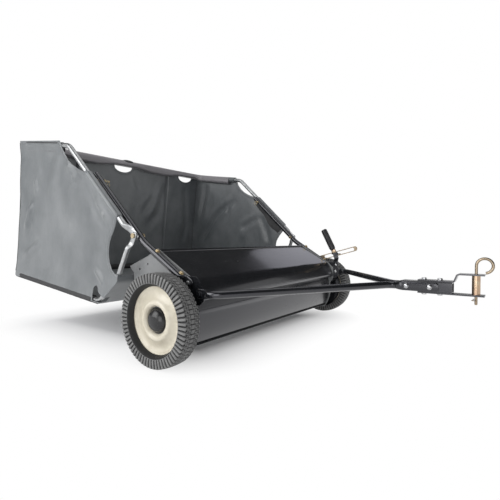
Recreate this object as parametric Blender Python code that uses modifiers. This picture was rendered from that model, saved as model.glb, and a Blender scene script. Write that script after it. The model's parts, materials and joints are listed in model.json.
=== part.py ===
"""Tow-behind lawn sweeper, modelled as the pieces that come apart on a bench.

X runs across the machine, with its left side at +X. Y runs back from the hitch to the
hopper. Z is up and 0 is the ground. The driving dimensions below are metres, and their Y
is measured from the wheel axle. The empty "sweeper" moves the whole machine along Y so
that the origin lies under the middle of its length.
"""

import math

import bmesh
import bpy
from mathutils import Matrix, Vector

# Driving dimensions: wheels and gear train
WHEEL_RADIUS = 0.1525
TYRE_MID_X = 0.6205
TYRE_RIBS = 44
RIB_DEPTH = 0.0024
RIM_RADIUS = 0.1165
RING_TEETH = 40
PINION_TEETH = 8
GEAR_MODULE = 0.00525
GEAR_IN_X, GEAR_OUT_X = 0.578, 0.592

# Driving dimensions: brush
BRUSH_DROP = math.radians(8.8)
BRUSH_RADIUS = 0.135
BRUSH_HALF_LENGTH = 0.515
SHAFT_RADIUS = 0.0079
STRANDS_PER_ROW = 75

# Driving dimensions: housing
HOOD_HALF_WIDTH = 0.533
SHEET = 0.0015
FRONT_PANEL_RADIUS = 0.156
LIP_HEIGHT = 0.055
PLATE_IN_X = 0.5334
PLATE_THICKNESS = 0.0026
TUBE_RADIUS = 0.0127
SIDE_TUBE_X = 0.5525
SIDE_TUBE_TOP = (0.437, 0.667)
SIDE_TUBE_BEND = (0.148, 0.397)
SIDE_TUBE_FOOT = (-0.072, 0.2615)

# Driving dimensions: hopper
HOPPER_TUBE_X = 0.585
HOPPER_TUBE_RADIUS = 0.011
LOWER_TUBE_RADIUS = 0.0095
DUMP_PIVOT = (0.176, 0.423)
UPPER_TUBE_BEND = (0.572, 0.792)
UPPER_TUBE_REAR = (0.950, 0.850)
LOWER_TUBE_KNEE = (0.262, 0.262)
LOWER_TUBE_FRONT = (0.372, 0.176)
LOWER_TUBE_REAR = (1.018, 0.247)
TUBE_JOIN_X = 0.45
BAG_SKIN = 0.0025
STAY_X = 0.31

# Driving dimensions: drawbar and height adjuster
DRAWBAR_PIVOT = (-0.106, 0.236)
DRAWBAR_LAYER_X = 0.5436
CHANNEL_REAR_Y, CHANNEL_FRONT_Y = -0.595, -0.757
CHANNEL_HALF_WIDTH = 0.0215
CHANNEL_TOP_Z, CHANNEL_BOTTOM_Z = 0.2655, 0.2300
CROSS_BOLT_Y = (-0.612, -0.688)
STRAP_BOLT_Y = (-0.666, -0.717)
STRAP_FRONT_Y = -0.850
HITCH_PIN_Y = -0.8245
HITCH_PIN_RADIUS = 0.0055
COTTER_Z = 0.2125
UPPER_STRAP_Z, LOWER_STRAP_Z = 0.2945, 0.2269
STRAP_THICKNESS = 0.005
ADJUSTER_PIVOT = (-0.003, 0.304)
ADJUSTER_TIP = (-0.204, 0.360)
LEVER_LOCK = (-0.093, 0.329)
GRIP_TOP = (-0.024, 0.463)

# Driving dimensions: whole machine
GAP = 0.0003
ORIGIN_Y = 0.0772
FLAT_THICKNESS = 0.006
SIDES = (("right", -1), ("left", 1))

AXLE = (0.0, WHEEL_RADIUS)
GEAR_CENTRES = GEAR_MODULE * (RING_TEETH - PINION_TEETH) / 2
BRUSH = (
    AXLE[0] + GEAR_CENTRES * math.cos(BRUSH_DROP),
    AXLE[1] - GEAR_CENTRES * math.sin(BRUSH_DROP),
)

FINISHES = {
    "black_paint": ((0.012, 0.013, 0.015), 0.28, 0.0),
    "black_plastic": ((0.02, 0.02, 0.021), 0.45, 0.0),
    "galvanised": ((0.62, 0.63, 0.62), 0.42, 0.9),
    "yellow_zinc": ((0.72, 0.52, 0.22), 0.35, 0.9),
    "bright_zinc": ((0.68, 0.69, 0.70), 0.28, 0.95),
    "cream_paint": ((0.74, 0.70, 0.58), 0.38, 0.0),
    "rubber": ((0.035, 0.036, 0.038), 0.75, 0.0),
    "vinyl": ((0.045, 0.048, 0.052), 0.55, 0.0),
    "bristle": ((0.03, 0.03, 0.03), 0.6, 0.0),
}


def clear_scene():
    for obj in list(bpy.data.objects):
        bpy.data.objects.remove(obj, do_unlink=True)


def new_collection(name):
    collection = bpy.data.collections.new(name)
    bpy.context.scene.collection.children.link(collection)
    return collection


def new_empty(name, parent, at):
    empty = bpy.data.objects.new(name, None)
    empty.empty_display_size = 0.05
    PARTS.objects.link(empty)
    empty.parent = parent
    empty.location = at
    return empty


def finish(obj, look):
    colour, roughness, metallic = FINISHES[look]
    material = bpy.data.materials.new(obj.name + "_finish")
    material.use_nodes = True
    shader = material.node_tree.nodes["Principled BSDF"]
    shader.inputs["Base Color"].default_value = (*colour, 1.0)
    shader.inputs["Roughness"].default_value = roughness
    shader.inputs["Metallic"].default_value = metallic
    obj.data.materials.clear()
    obj.data.materials.append(material)


def settle(obj, body, look):
    """Hangs a piece made in the machine's frame on its body's axis, with its finish."""
    axis = AXES[body]
    obj.parent = axis
    obj.matrix_basis = Matrix.Translation(-axis.location) @ obj.matrix_basis
    finish(obj, look)
    return obj


def new_object(name, data):
    obj = bpy.data.objects.new(name, data)
    PARTS.objects.link(obj)
    return obj


def from_bmesh(name, bm, smooth=False):
    mesh = bpy.data.meshes.new(name)
    bm.to_mesh(mesh)
    bm.free()
    if smooth:
        mesh.shade_smooth()
        mesh.set_sharp_from_angle(angle=math.radians(35))
    return new_object(name, mesh)


def as_mesh(obj):
    """The evaluated object as a plain mesh object of the same name, its caps welded."""
    bpy.context.view_layer.update()
    graph = bpy.context.evaluated_depsgraph_get()
    mesh = bpy.data.meshes.new_from_object(obj.evaluated_get(graph))
    name, matrix = obj.name, obj.matrix_basis.copy()
    bpy.data.objects.remove(obj, do_unlink=True)
    bm = bmesh.new()
    bm.from_mesh(mesh)
    bmesh.ops.remove_doubles(bm, verts=bm.verts, dist=1e-6)
    bm.to_mesh(mesh)
    bm.free()
    mesh.shade_smooth()
    mesh.set_sharp_from_angle(angle=math.radians(35))
    made = new_object(name, mesh)
    made.matrix_basis = matrix
    return made


def combine(obj, helpers, operation):
    """Adds or takes away helper solids, which stay beside the model as hidden cutters."""
    for helper in helpers:
        modifier = obj.modifiers.new(operation.lower(), "BOOLEAN")
        modifier.operation = operation
        modifier.solver = "EXACT"
        modifier.object = helper
        PARTS.objects.unlink(helper)
        CUTTERS.objects.link(helper)
        helper.hide_render = True
        helper.display_type = "WIRE"
        helper.parent = MACHINE
    return obj


def fuse(obj, *helpers):
    return combine(obj, helpers, "UNION")


def cut(obj, *helpers):
    return combine(obj, helpers, "DIFFERENCE")


def rod(name, radius, start, end, sides=10, end_radius=None):
    """A straight round bar, or a hexagon head with six sides, between two points."""
    start, end = Vector(start), Vector(end)
    line = end - start
    turn = line.to_track_quat("Z", "Y").to_matrix().to_4x4()
    bm = bmesh.new()
    bmesh.ops.create_cone(
        bm,
        cap_ends=True,
        segments=sides,
        radius1=radius,
        radius2=radius if end_radius is None else end_radius,
        depth=line.length,
        matrix=Matrix.Translation((start + end) / 2) @ turn,
    )
    return from_bmesh(name, bm, smooth=sides > 6)


def box(name, low, high):
    bm = bmesh.new()
    bmesh.ops.create_cube(bm, size=1.0)
    for vert in bm.verts:
        for i in range(3):
            vert.co[i] = high[i] if vert.co[i] > 0 else low[i]
    return from_bmesh(name, bm)


def turned(name, profile, centre, side, steps):
    """A closed section of (radius, distance) points turned about a line along X.

    The distance is measured outwards from the machine's middle, on either side.
    """
    area = 0.0
    for (r0, a0), (r1, a1) in zip(profile, profile[1:] + profile[:1]):
        area += r0 * a1 - r1 * a0
    if area > 0:
        profile = profile[::-1]
    on_axis = [r < 1e-9 for r, _ in profile]
    bm = bmesh.new()
    verts = [bm.verts.new((r, 0.0, a)) for r, a in profile]
    for i in range(len(verts)):
        follow = (i + 1) % len(verts)
        if not (on_axis[i] and on_axis[follow]):
            bm.edges.new((verts[i], verts[follow]))
    obj = from_bmesh(name, bm)
    screw = obj.modifiers.new("turn", "SCREW")
    screw.steps = steps
    screw.render_steps = steps
    screw.use_merge_vertices = True
    screw.merge_threshold = 1e-5
    screw.use_smooth_shade = True
    obj.matrix_basis = Matrix.Translation((0, *centre)) @ Matrix.Rotation(
        side * math.pi / 2, 4, "Y"
    )
    return as_mesh(obj)


def circle(centre, radius, count=16, start=0.0, end=math.tau):
    """Points on a circle or an arc, in the plane of an outline."""
    whole = abs(end - start - math.tau) < 1e-9
    last = count if whole else count - 1
    return [
        (
            centre[0] + radius * math.cos(start + (end - start) * i / last),
            centre[1] + radius * math.sin(start + (end - start) * i / last),
        )
        for i in range(count)
    ]


def plate(name, outline, holes, x, thickness):
    """A flat plate across the machine, cut to an outline in Y and Z, with its holes."""
    curve = bpy.data.curves.new(name, "CURVE")
    curve.dimensions = "2D"
    curve.fill_mode = "BOTH"
    curve.extrude = thickness / 2
    for loop in (outline, *holes):
        spline = curve.splines.new("POLY")
        spline.points.add(len(loop) - 1)
        for point, (y, z) in zip(spline.points, loop):
            point.co = (y, z, 0.0, 1.0)
        spline.use_cyclic_u = True
    obj = new_object(name, curve)
    turn = Matrix(((0, 0, 1, x), (1, 0, 0, 0), (0, 1, 0, 0), (0, 0, 0, 1)))
    obj.matrix_basis = turn
    return as_mesh(obj)


def rounded_route(points, bend, steps=3):
    """A route through the points with an arc of the given radius at each bend."""
    points = [Vector(p) for p in points]
    route = [points[0]]
    for before, corner, after in zip(points, points[1:], points[2:]):
        incoming = (corner - before).normalized()
        outgoing = (after - corner).normalized()
        angle = incoming.angle(outgoing)
        reach = bend * math.tan(angle / 2)
        normal = (outgoing - incoming * incoming.dot(outgoing)).normalized()
        centre = corner - incoming * reach + normal * bend
        for i in range(steps + 1):
            turn = angle * i / steps
            route.append(
                centre - normal * bend * math.cos(turn) + incoming * bend * math.sin(turn)
            )
    route.append(points[-1])
    return route


def tube(name, route, radius, resolution=3):
    """A round bar or tube along a route, with filled ends."""
    curve = bpy.data.curves.new(name, "CURVE")
    curve.dimensions = "3D"
    curve.bevel_depth = radius
    curve.bevel_resolution = resolution
    curve.use_fill_caps = True
    spline = curve.splines.new("POLY")
    spline.points.add(len(route) - 1)
    for point, place in zip(spline.points, route):
        point.co = (*place, 1.0)
    return as_mesh(new_object(name, curve))


def flat_marks(start, towards, flat, taper):
    """Route points that a pressed end needs: its tip, its shoulder, its flat and its taper."""
    start = Vector(start)
    along = (Vector(towards) - start).normalized()
    return [start + along * d for d in (0.0, 0.009, flat, flat + taper)]


def press_flat(obj, end, along, flat, x, radius):
    """Presses the end of a tube flat, about the plane at x, and rounds its tip."""
    end, along = Vector(end), Vector(along).normalized()
    across = Vector((1, 0, 0)).cross(along).normalized()
    middle = end.x
    for vert in obj.data.vertices:
        place = vert.co - end
        distance = place.dot(along)
        if distance > flat + 1e-4 or distance < -0.01:
            continue
        sideways = place.dot(across)
        if abs(sideways) > 2 * radius:
            continue
        widen = 0.75 if distance < 0.004 else 1.25
        squeezed = x + (vert.co.x - middle) / radius * FLAT_THICKNESS / 2
        vert.co = end + along * distance + across * sideways * widen
        vert.co.x = squeezed
    return obj


def sheet(name, profile, half_width, thickness, outwards=1):
    """A bent sheet: a profile in Y and Z drawn across the machine, then thickened."""
    bm = bmesh.new()
    rows = [[bm.verts.new((x, y, z)) for y, z in profile] for x in (-half_width, half_width)]
    for i in range(len(profile) - 1):
        bm.faces.new((rows[0][i], rows[1][i], rows[1][i + 1], rows[0][i + 1]))
    obj = from_bmesh(name, bm)
    solid = obj.modifiers.new("thickness", "SOLIDIFY")
    solid.thickness = thickness
    solid.offset = outwards
    solid.use_even_offset = True
    return obj


def strip(name, middle, across, width, thickness):
    """A bent flat bar: its middle line widened to both sides, then thickened."""
    across = Vector(across).normalized() * width / 2
    bm = bmesh.new()
    rows = [[bm.verts.new(Vector(p) + across * s) for p in middle] for s in (-1, 1)]
    for i in range(len(middle) - 1):
        bm.faces.new((rows[0][i], rows[1][i], rows[1][i + 1], rows[0][i + 1]))
    obj = from_bmesh(name, bm)
    solid = obj.modifiers.new("thickness", "SOLIDIFY")
    solid.thickness = thickness
    solid.offset = 0.0
    solid.use_even_offset = True
    return obj


def polar(centre, radius, angle):
    """A point in Y and Z, with the angle counted from straight ahead (-Y) upwards."""
    return (centre[0] - radius * math.cos(angle), centre[1] + radius * math.sin(angle))


def along_line(start, end, share):
    return tuple(a + (b - a) * share for a, b in zip(start, end))


def gear_outline(teeth, root, tip, root_half, tip_half, phase):
    """Straight-flanked teeth about (0, 0): half widths are at the root and at the tip."""
    points = []
    for i in range(teeth):
        middle = phase + math.tau * i / teeth
        for radius, half in ((root, -root_half), (tip, -tip_half), (tip, tip_half), (root, root_half)):
            angle = middle + half / radius
            points.append((radius * math.cos(angle), radius * math.sin(angle)))
    return points


def moved(outline, centre):
    return [(y + centre[0], z + centre[1]) for y, z in outline]


# Housing


def make_hood():
    """The bent upper panel and the curved front panel that wraps the brush."""
    slope_top, slope_bottom = (0.062, 0.386), (-0.058, 0.284)
    nose = [(-0.074, 0.268), (-0.085, 0.249), (-0.0885, 0.228), (-0.0845, 0.206)]
    overlap = [polar(BRUSH, FRONT_PANEL_RADIUS + 0.0028, math.radians(a)) for a in (20, 14.5)]
    upper = sheet(
        "hood_upper_panel",
        [(0.0655, 0.3785), slope_top, slope_bottom, *nose, *overlap],
        HOOD_HALF_WIDTH,
        SHEET,
    )
    settle(upper, "root", "black_paint")
    lip_angle = math.asin((LIP_HEIGHT - BRUSH[1]) / FRONT_PANEL_RADIUS)
    top_angle = math.radians(24)
    arc = [
        polar(BRUSH, FRONT_PANEL_RADIUS, top_angle + (lip_angle - top_angle) * i / 12)
        for i in range(13)
    ]
    lip_y, lip_z = arc[-1]
    hem = [(lip_y - 0.003, lip_z - 0.0035), (lip_y - 0.0085, lip_z - 0.0025)]
    front = sheet("hood_front_panel", [*arc, *hem], HOOD_HALF_WIDTH, SHEET)
    settle(front, "root", "black_paint")
    rail_at = (0.0745, 0.3935)
    reach = HOOD_HALF_WIDTH
    rail = rod("hood_top_rail", 0.0080, (-reach, *rail_at), (reach, *rail_at))
    settle(rail, "root", "black_paint")


def end_plate_outline():
    front = [
        polar(BRUSH, FRONT_PANEL_RADIUS + 0.008, math.radians(a))
        for a in (-38, -25, -12, 0, 12)
    ]
    top = [(-0.095, 0.200), (-0.095, 0.256), (-0.062, 0.293), (0.058, 0.3985), (0.088, 0.4035)]
    rear = [(0.149, 0.352), (0.240, 0.3155), (0.251, 0.3115), (0.244, 0.300), (0.229, 0.288)]
    foot = [(0.226, 0.180), (0.205, 0.062), (0.170, 0.038), (-0.030, 0.038)]
    return front + top + rear + foot


def make_end_plate(name, side):
    holes = [
        circle(AXLE, 0.0085),
        circle(BRUSH, 0.0116, 14),
        circle((0.196, 0.302), 0.0045, 8),
        circle((0.152, 0.322), 0.0035, 8),
    ]
    middle = side * (PLATE_IN_X + PLATE_THICKNESS / 2)
    made = plate("end_plate_" + name, end_plate_outline(), holes, middle, PLATE_THICKNESS)
    settle(made, "root", "black_paint")


def make_side_tube(name, side):
    """The black hopper arm: pressed flat at its foot, bent, and open to the rear above."""
    x = side * SIDE_TUBE_X
    foot = (x, *SIDE_TUBE_FOOT)
    bend = (x, *SIDE_TUBE_BEND)
    top = (x, *SIDE_TUBE_TOP)
    marks = flat_marks(foot, bend, 0.030, 0.022)
    route = marks[:-1] + rounded_route([marks[-1], bend, top], 0.16)
    arm = tube("side_tube_" + name, route, TUBE_RADIUS)
    along = Vector(bend) - Vector(foot)
    press_flat(arm, foot, along, 0.030, side * DRAWBAR_LAYER_X, TUBE_RADIUS)
    flat_out = DRAWBAR_LAYER_X + FLAT_THICKNESS / 2
    bolt_at = along_line(SIDE_TUBE_FOOT, SIDE_TUBE_BEND, 0.055)
    heads = [
        rod(
            "foot_bolt_" + name,
            0.0075,
            (side * (flat_out - 0.002), *bolt_at),
            (side * (flat_out + 0.0045), *bolt_at),
            6,
        )
    ]
    inner = SIDE_TUBE_X - TUBE_RADIUS
    for share, label in ((0.72, "upper"), (0.20, "lower")):
        place = along_line(SIDE_TUBE_FOOT, SIDE_TUBE_BEND, share)
        outer = SIDE_TUBE_X + TUBE_RADIUS
        heads.append(
            rod(
                label + "_bolt_" + name,
                0.0065,
                (side * (outer - 0.002), *place),
                (side * (outer + 0.003), *place),
                6,
            )
        )
        heads.append(
            rod(
                label + "_nut_" + name,
                0.0065,
                (side * (PLATE_IN_X + PLATE_THICKNESS + GAP), *place),
                (side * (inner + 0.002), *place),
                6,
            )
        )
    if side > 0:
        outer = SIDE_TUBE_X + TUBE_RADIUS
        heads.append(
            rod("adjuster_stud", 0.0040, (outer - 0.004, *ADJUSTER_PIVOT), (outer + 0.0075, *ADJUSTER_PIVOT)),
        )
    latch = along_line(SIDE_TUBE_BEND, SIDE_TUBE_TOP, 0.90)
    bores = [
        rod("latch_bore_" + name, 0.0044, (side * 0.53, *latch), (side * 0.58, *latch)),
        rod("pivot_bore_" + name, 0.0054, (side * 0.53, *DUMP_PIVOT), (side * 0.58, *DUMP_PIVOT)),
    ]
    cut(fuse(arm, *heads), *bores)
    settle(arm, "root", "black_paint")
    return latch


def make_hitch_bracket(name, side):
    """The hanger on the end plate, with the pivot bolt that the drawbar swings on."""
    outline = [(-0.046, 0.205), (-0.046, 0.278)]
    outline += circle((-0.058, 0.278), 0.012, 5, 0.0, math.pi / 2)[1:]
    outline += circle((-0.084, 0.278), 0.012, 5, math.pi / 2, 2.6)
    outline += [(-0.121, 0.250), (-0.125, 0.236), (-0.121, 0.212), (-0.104, 0.198), (-0.066, 0.192)]
    inner = PLATE_IN_X + PLATE_THICKNESS + GAP
    outer = DRAWBAR_LAYER_X - FLAT_THICKNESS / 2 - GAP
    bracket = plate("hitch_bracket_" + name, outline, [], side * (inner + outer) / 2, outer - inner)
    layer_out = DRAWBAR_LAYER_X + FLAT_THICKNESS / 2 + GAP
    if side > 0:
        layer_out += 0.0054
    bolt = rod(
        "drawbar_bolt_" + name,
        0.0050,
        (side * (inner + 0.001), *DRAWBAR_PIVOT),
        (side * (layer_out + 0.002), *DRAWBAR_PIVOT),
    )
    head = rod(
        "drawbar_nut_" + name,
        0.0090,
        (side * layer_out, *DRAWBAR_PIVOT),
        (side * (layer_out + 0.005), *DRAWBAR_PIVOT),
        6,
    )
    fuse(bracket, bolt, head)
    settle(bracket, "root", "black_paint")


def make_brush_bearing(name, side):
    plate_out = PLATE_IN_X + PLATE_THICKNESS
    section = [
        (SHAFT_RADIUS + GAP, PLATE_IN_X - 0.004),
        (0.0112, PLATE_IN_X - 0.004),
        (0.0112, plate_out + GAP),
        (0.0175, plate_out + GAP),
        (0.0175, plate_out + 0.004),
        (0.0130, plate_out + 0.012),
        (SHAFT_RADIUS + GAP, plate_out + 0.012),
    ]
    bearing = turned("brush_bearing_" + name, section, BRUSH, side, 12)
    settle(bearing, "root", "black_plastic")


def make_axle_bolt(name, side):
    plate_out = PLATE_IN_X + PLATE_THICKNESS
    section = [
        (0.0, PLATE_IN_X - 0.0085),
        (0.0120, PLATE_IN_X - 0.0085),
        (0.0120, PLATE_IN_X - GAP),
        (0.0080, PLATE_IN_X - GAP),
        (0.0080, plate_out + GAP),
        (0.0125, plate_out + GAP),
        (0.0125, 0.5765),
        (0.0080, 0.5765),
        (0.0080, 0.6240),
        (0.0125, 0.6240),
        (0.0125, 0.6313),
        (0.0, 0.6313),
    ]
    bolt = turned("axle_bolt_" + name, section, AXLE, side, 10)
    settle(bolt, "root", "bright_zinc")


def make_gear_cover(name, side):
    """The pressed dish that keeps grass out of the gears, on two stand-offs."""
    plate_out = PLATE_IN_X + PLATE_THICKNESS + GAP
    face = 0.5755
    section = [
        (0.0140, face),
        (0.1130, face),
        (0.1225, face - 0.015),
        (0.1208, face - 0.015),
        (0.1125, face - 0.0015),
        (0.0140, face - 0.0015),
    ]
    cover = turned("gear_cover_" + name, section, AXLE, side, 20)
    posts = []
    for i, (angle, out) in enumerate(((2.75, 0.092), (5.6, 0.098))):
        at = (AXLE[0] + out * math.cos(angle), AXLE[1] + out * math.sin(angle))
        posts.append(
            rod(f"cover_post_{i}_{name}", 0.006, (side * plate_out, *at), (side * (face - 0.001), *at), 6),
        )
    posts[0].data.transform(Matrix.Translation((0, -0.006, 0)))
    fuse(cover, *posts)
    cut(
        cover,
        rod("cover_shaft_bore_" + name, SHAFT_RADIUS + 0.0012, (side * 0.55, *BRUSH), (side * 0.60, *BRUSH)),
    )
    settle(cover, "root", "black_paint")


def make_pivot_bolt(name, side):
    plate_out = PLATE_IN_X + PLATE_THICKNESS
    section = [
        (0.0, SIDE_TUBE_X - TUBE_RADIUS - 0.0065),
        (0.0085, SIDE_TUBE_X - TUBE_RADIUS - 0.0065),
        (0.0085, SIDE_TUBE_X - TUBE_RADIUS - GAP),
        (0.0050, SIDE_TUBE_X - TUBE_RADIUS - GAP),
        (0.0050, 0.5790),
        (0.0090, 0.5790),
        (0.0090, 0.5845),
        (0.0, 0.5845),
    ]
    bolt = turned("pivot_bolt_" + name, section, DUMP_PIVOT, side, 14)
    settle(bolt, "root", "yellow_zinc")


# Wheels


def make_tyre(name, side):
    """A semi-pneumatic tyre whose shoulders carry the radial ribs."""
    half = 0.0325
    section = [
        (RIM_RADIUS + GAP, -0.0280),
        (RIM_RADIUS + GAP, 0.0200),
        (0.1225, half),
        (0.1480, 0.0275),
        (WHEEL_RADIUS, 0.0150),
        (WHEEL_RADIUS, -0.0150),
        (0.1480, -0.0275),
        (0.1225, -half),
    ]
    section = [(r, TYRE_MID_X + a) for r, a in section]
    tyre = turned("tyre_" + name, section, AXLE, side, 2 * TYRE_RIBS)
    for vert in tyre.data.vertices:
        radius = math.hypot(vert.co.x, vert.co.y)
        offset = vert.co.z - TYRE_MID_X
        step = round(math.atan2(vert.co.y, vert.co.x) / (math.pi / TYRE_RIBS))
        if step % 2 and 0.1215 < radius < 0.1510 and abs(offset) > 0.02:
            vert.co.z -= math.copysign(RIB_DEPTH if radius > 0.13 else RIB_DEPTH / 3, offset)
    settle(tyre, "wheel_" + name, "rubber")


def make_wheel_disc(name, side):
    """The pressed steel wheel: raised ring, valley, rolled rim and the seat of the tyre."""
    outer = [
        (0.0435, 0.0035),
        (0.0445, 0.0130),
        (0.0520, 0.0190),
        (0.0610, 0.0182),
        (0.0740, 0.0080),
        (0.0870, 0.0050),
        (0.1010, 0.0080),
        (0.1090, 0.0150),
        (RIM_RADIUS, 0.0135),
        (RIM_RADIUS, -0.0290),
    ]
    inner = [
        (0.1145, -0.0290),
        (0.1145, 0.0085),
        (0.0870, 0.0028),
        (0.0720, 0.0060),
        (0.0560, 0.0165),
        (0.0460, 0.0035),
    ]
    section = [(r, TYRE_MID_X + a) for r, a in outer + inner]
    disc = turned("wheel_disc_" + name, section, AXLE, side, 22)
    settle(disc, "wheel_" + name, "cream_paint")


def make_ring_gear(name, side):
    """The moulded hub, its web and the internal ring of teeth."""
    pitch = GEAR_MODULE * RING_TEETH / 2
    root, tip = pitch + GEAR_MODULE, pitch - 0.8 * GEAR_MODULE
    gap_phase = -BRUSH_DROP + math.pi / RING_TEETH
    teeth = gear_outline(RING_TEETH, root, tip, 0.0052, 0.0024, gap_phase)
    ring = plate(
        "ring_gear_" + name,
        circle(AXLE, 0.1132, 24),
        [moved(teeth, AXLE)],
        side * (GEAR_IN_X + GEAR_OUT_X) / 2,
        GEAR_OUT_X - GEAR_IN_X,
    )
    web = [
        (0.0085, 0.5770),
        (0.0200, 0.5770),
        (0.0200, GEAR_OUT_X - 0.0005),
        (0.1128, GEAR_OUT_X - 0.0005),
        (0.1128, GEAR_OUT_X + 0.0040),
        (0.0350, GEAR_OUT_X + 0.0040),
        (0.0500, 0.6237),
        (0.0085, 0.6237),
    ]
    fuse(ring, turned("wheel_web_" + name, web, AXLE, side, 18))
    settle(ring, "wheel_" + name, "black_plastic")


def make_hub_cap(name, side):
    dome = [
        (0.0430, 0.6240),
        (0.0430, 0.6275),
        (0.0400, 0.6300),
        (0.0300, 0.6335),
        (0.0150, 0.6362),
        (0.0, 0.6370),
    ]
    inside = [(0.0, 0.6345), (0.0270, 0.6315), (0.0395, 0.6270), (0.0400, 0.6240)]
    cap = turned("hub_cap_" + name, dome + inside, AXLE, side, 14)
    settle(cap, "wheel_" + name, "black_plastic")


# Brush


def make_pinion(name, side, body):
    pitch = GEAR_MODULE * PINION_TEETH / 2
    teeth = gear_outline(
        PINION_TEETH,
        pitch - 0.95 * GEAR_MODULE,
        pitch + 0.8 * GEAR_MODULE,
        0.0038,
        0.0021,
        -BRUSH_DROP,
    )
    pinion = plate(
        "pinion_" + name,
        moved(teeth, BRUSH),
        [circle(BRUSH, SHAFT_RADIUS + GAP, 14)],
        side * (GEAR_IN_X + GEAR_OUT_X - 0.001) / 2,
        GEAR_OUT_X - GEAR_IN_X - 0.003,
    )
    settle(pinion, body, "black_plastic")


def make_brush():
    """The shaft, four bent retainers round it, and the bristle strips they clamp."""
    end = GEAR_OUT_X - 0.0008
    shaft = rod("brush_shaft", SHAFT_RADIUS, (-end, *BRUSH), (end, *BRUSH), 14)
    settle(shaft, "brush", "bright_zinc")
    half_gap = 0.0045
    fold = 0.0075
    corner = [(0.060, half_gap), (fold, half_gap), (half_gap, fold), (half_gap, 0.060)]
    centre = Matrix.Translation((0, *BRUSH))
    for i in range(4):
        turn = centre @ Matrix.Rotation(math.pi / 4 + i * math.pi / 2, 4, "X")
        retainer = sheet(f"brush_retainer_{i + 1}", corner, BRUSH_HALF_LENGTH, 0.0016, -1)
        retainer.matrix_basis = turn
        settle(retainer, "brush", "bright_zinc")
        bar = box(
            f"brush_strip_{i + 1}",
            (-BRUSH_HALF_LENGTH, 0.028, -half_gap + GAP),
            (BRUSH_HALF_LENGTH, 0.066, half_gap - GAP),
        )
        bar.matrix_basis = turn
        strands = make_strands(f"strands_{i + 1}")
        strands.matrix_basis = turn
        fuse(bar, strands)
        settle(bar, "brush", "bristle")


def make_strands(name):
    """One row of bristle tufts, three-sided and tapered, leaning to both sides in turn."""
    bm = bmesh.new()
    pitch = 2 * BRUSH_HALF_LENGTH / STRANDS_PER_ROW
    root, tip = 0.060, BRUSH_RADIUS
    for i in range(STRANDS_PER_ROW):
        x = -BRUSH_HALF_LENGTH + pitch * (i + 0.5)
        lean = math.radians(5.0) * (1 if i % 2 else -1)
        length = tip - root
        made = bmesh.ops.create_cone(
            bm, cap_ends=True, segments=3, radius1=0.0042, radius2=0.0, depth=length
        )["verts"]
        stand = Matrix.Rotation(-math.pi / 2, 4, "X") @ Matrix.Rotation(math.radians(30), 4, "Z")
        lift = Matrix.Translation((0, length / 2, 0)) @ stand
        tilt = Matrix.Rotation(lean, 4, "X")
        bmesh.ops.transform(bm, matrix=Matrix.Translation((x, root, 0)) @ tilt @ lift, verts=made)
    return from_bmesh(name, bm)


# Hopper


def make_upper_tube(name, side):
    """The galvanised hopper arm: flat at the dump pivot, up beside the black arm, and back."""
    x = side * HOPPER_TUBE_X
    pivot = (x, *DUMP_PIVOT)
    bend = (x, *UPPER_TUBE_BEND)
    rear = (x, *UPPER_TUBE_REAR)
    inboard = (side * (TUBE_JOIN_X + GAP / 2), *UPPER_TUBE_REAR)
    along = (Vector(bend) - Vector(pivot)).normalized()
    start = Vector(pivot) - along * 0.014
    marks = flat_marks(start, bend, 0.044, 0.030)
    route = marks[:-1] + rounded_route([marks[-1], bend, rear, inboard], 0.055)
    arm = tube("hopper_upper_tube_" + name, route, HOPPER_TUBE_RADIUS)
    layer = SIDE_TUBE_X + TUBE_RADIUS + 0.0045
    press_flat(arm, start, along, 0.044, side * layer, HOPPER_TUBE_RADIUS)
    cut(
        arm,
        rod("upper_pivot_bore_" + name, 0.0055, (side * 0.55, *DUMP_PIVOT), (side * 0.62, *DUMP_PIVOT)),
    )
    settle(arm, "hopper", "galvanised")


def make_lower_tube(name, side):
    """The lower hopper tube: from the pivot down to the mouth, then back under the bag."""
    x = side * HOPPER_TUBE_X
    pivot = (x, *DUMP_PIVOT)
    knee = (x, *LOWER_TUBE_KNEE)
    front = (x, *LOWER_TUBE_FRONT)
    rear = (x, *LOWER_TUBE_REAR)
    inboard = (side * (TUBE_JOIN_X + GAP / 2), *LOWER_TUBE_REAR)
    along = (Vector(knee) - Vector(pivot)).normalized()
    start = Vector(pivot) - along * 0.013
    marks = flat_marks(start, knee, 0.040, 0.026)
    route = marks[:-1] + rounded_route([marks[-1], knee, front, rear, inboard], 0.045)
    arm = tube("hopper_lower_tube_" + name, route, LOWER_TUBE_RADIUS, 2)
    layer = SIDE_TUBE_X + TUBE_RADIUS + 0.0045 + FLAT_THICKNESS + GAP
    press_flat(arm, start, along, 0.040, side * layer, LOWER_TUBE_RADIUS)
    cut(
        arm,
        rod("lower_pivot_bore_" + name, 0.0055, (side * 0.55, *DUMP_PIVOT), (side * 0.62, *DUMP_PIVOT)),
    )
    settle(arm, "hopper", "galvanised")


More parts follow.
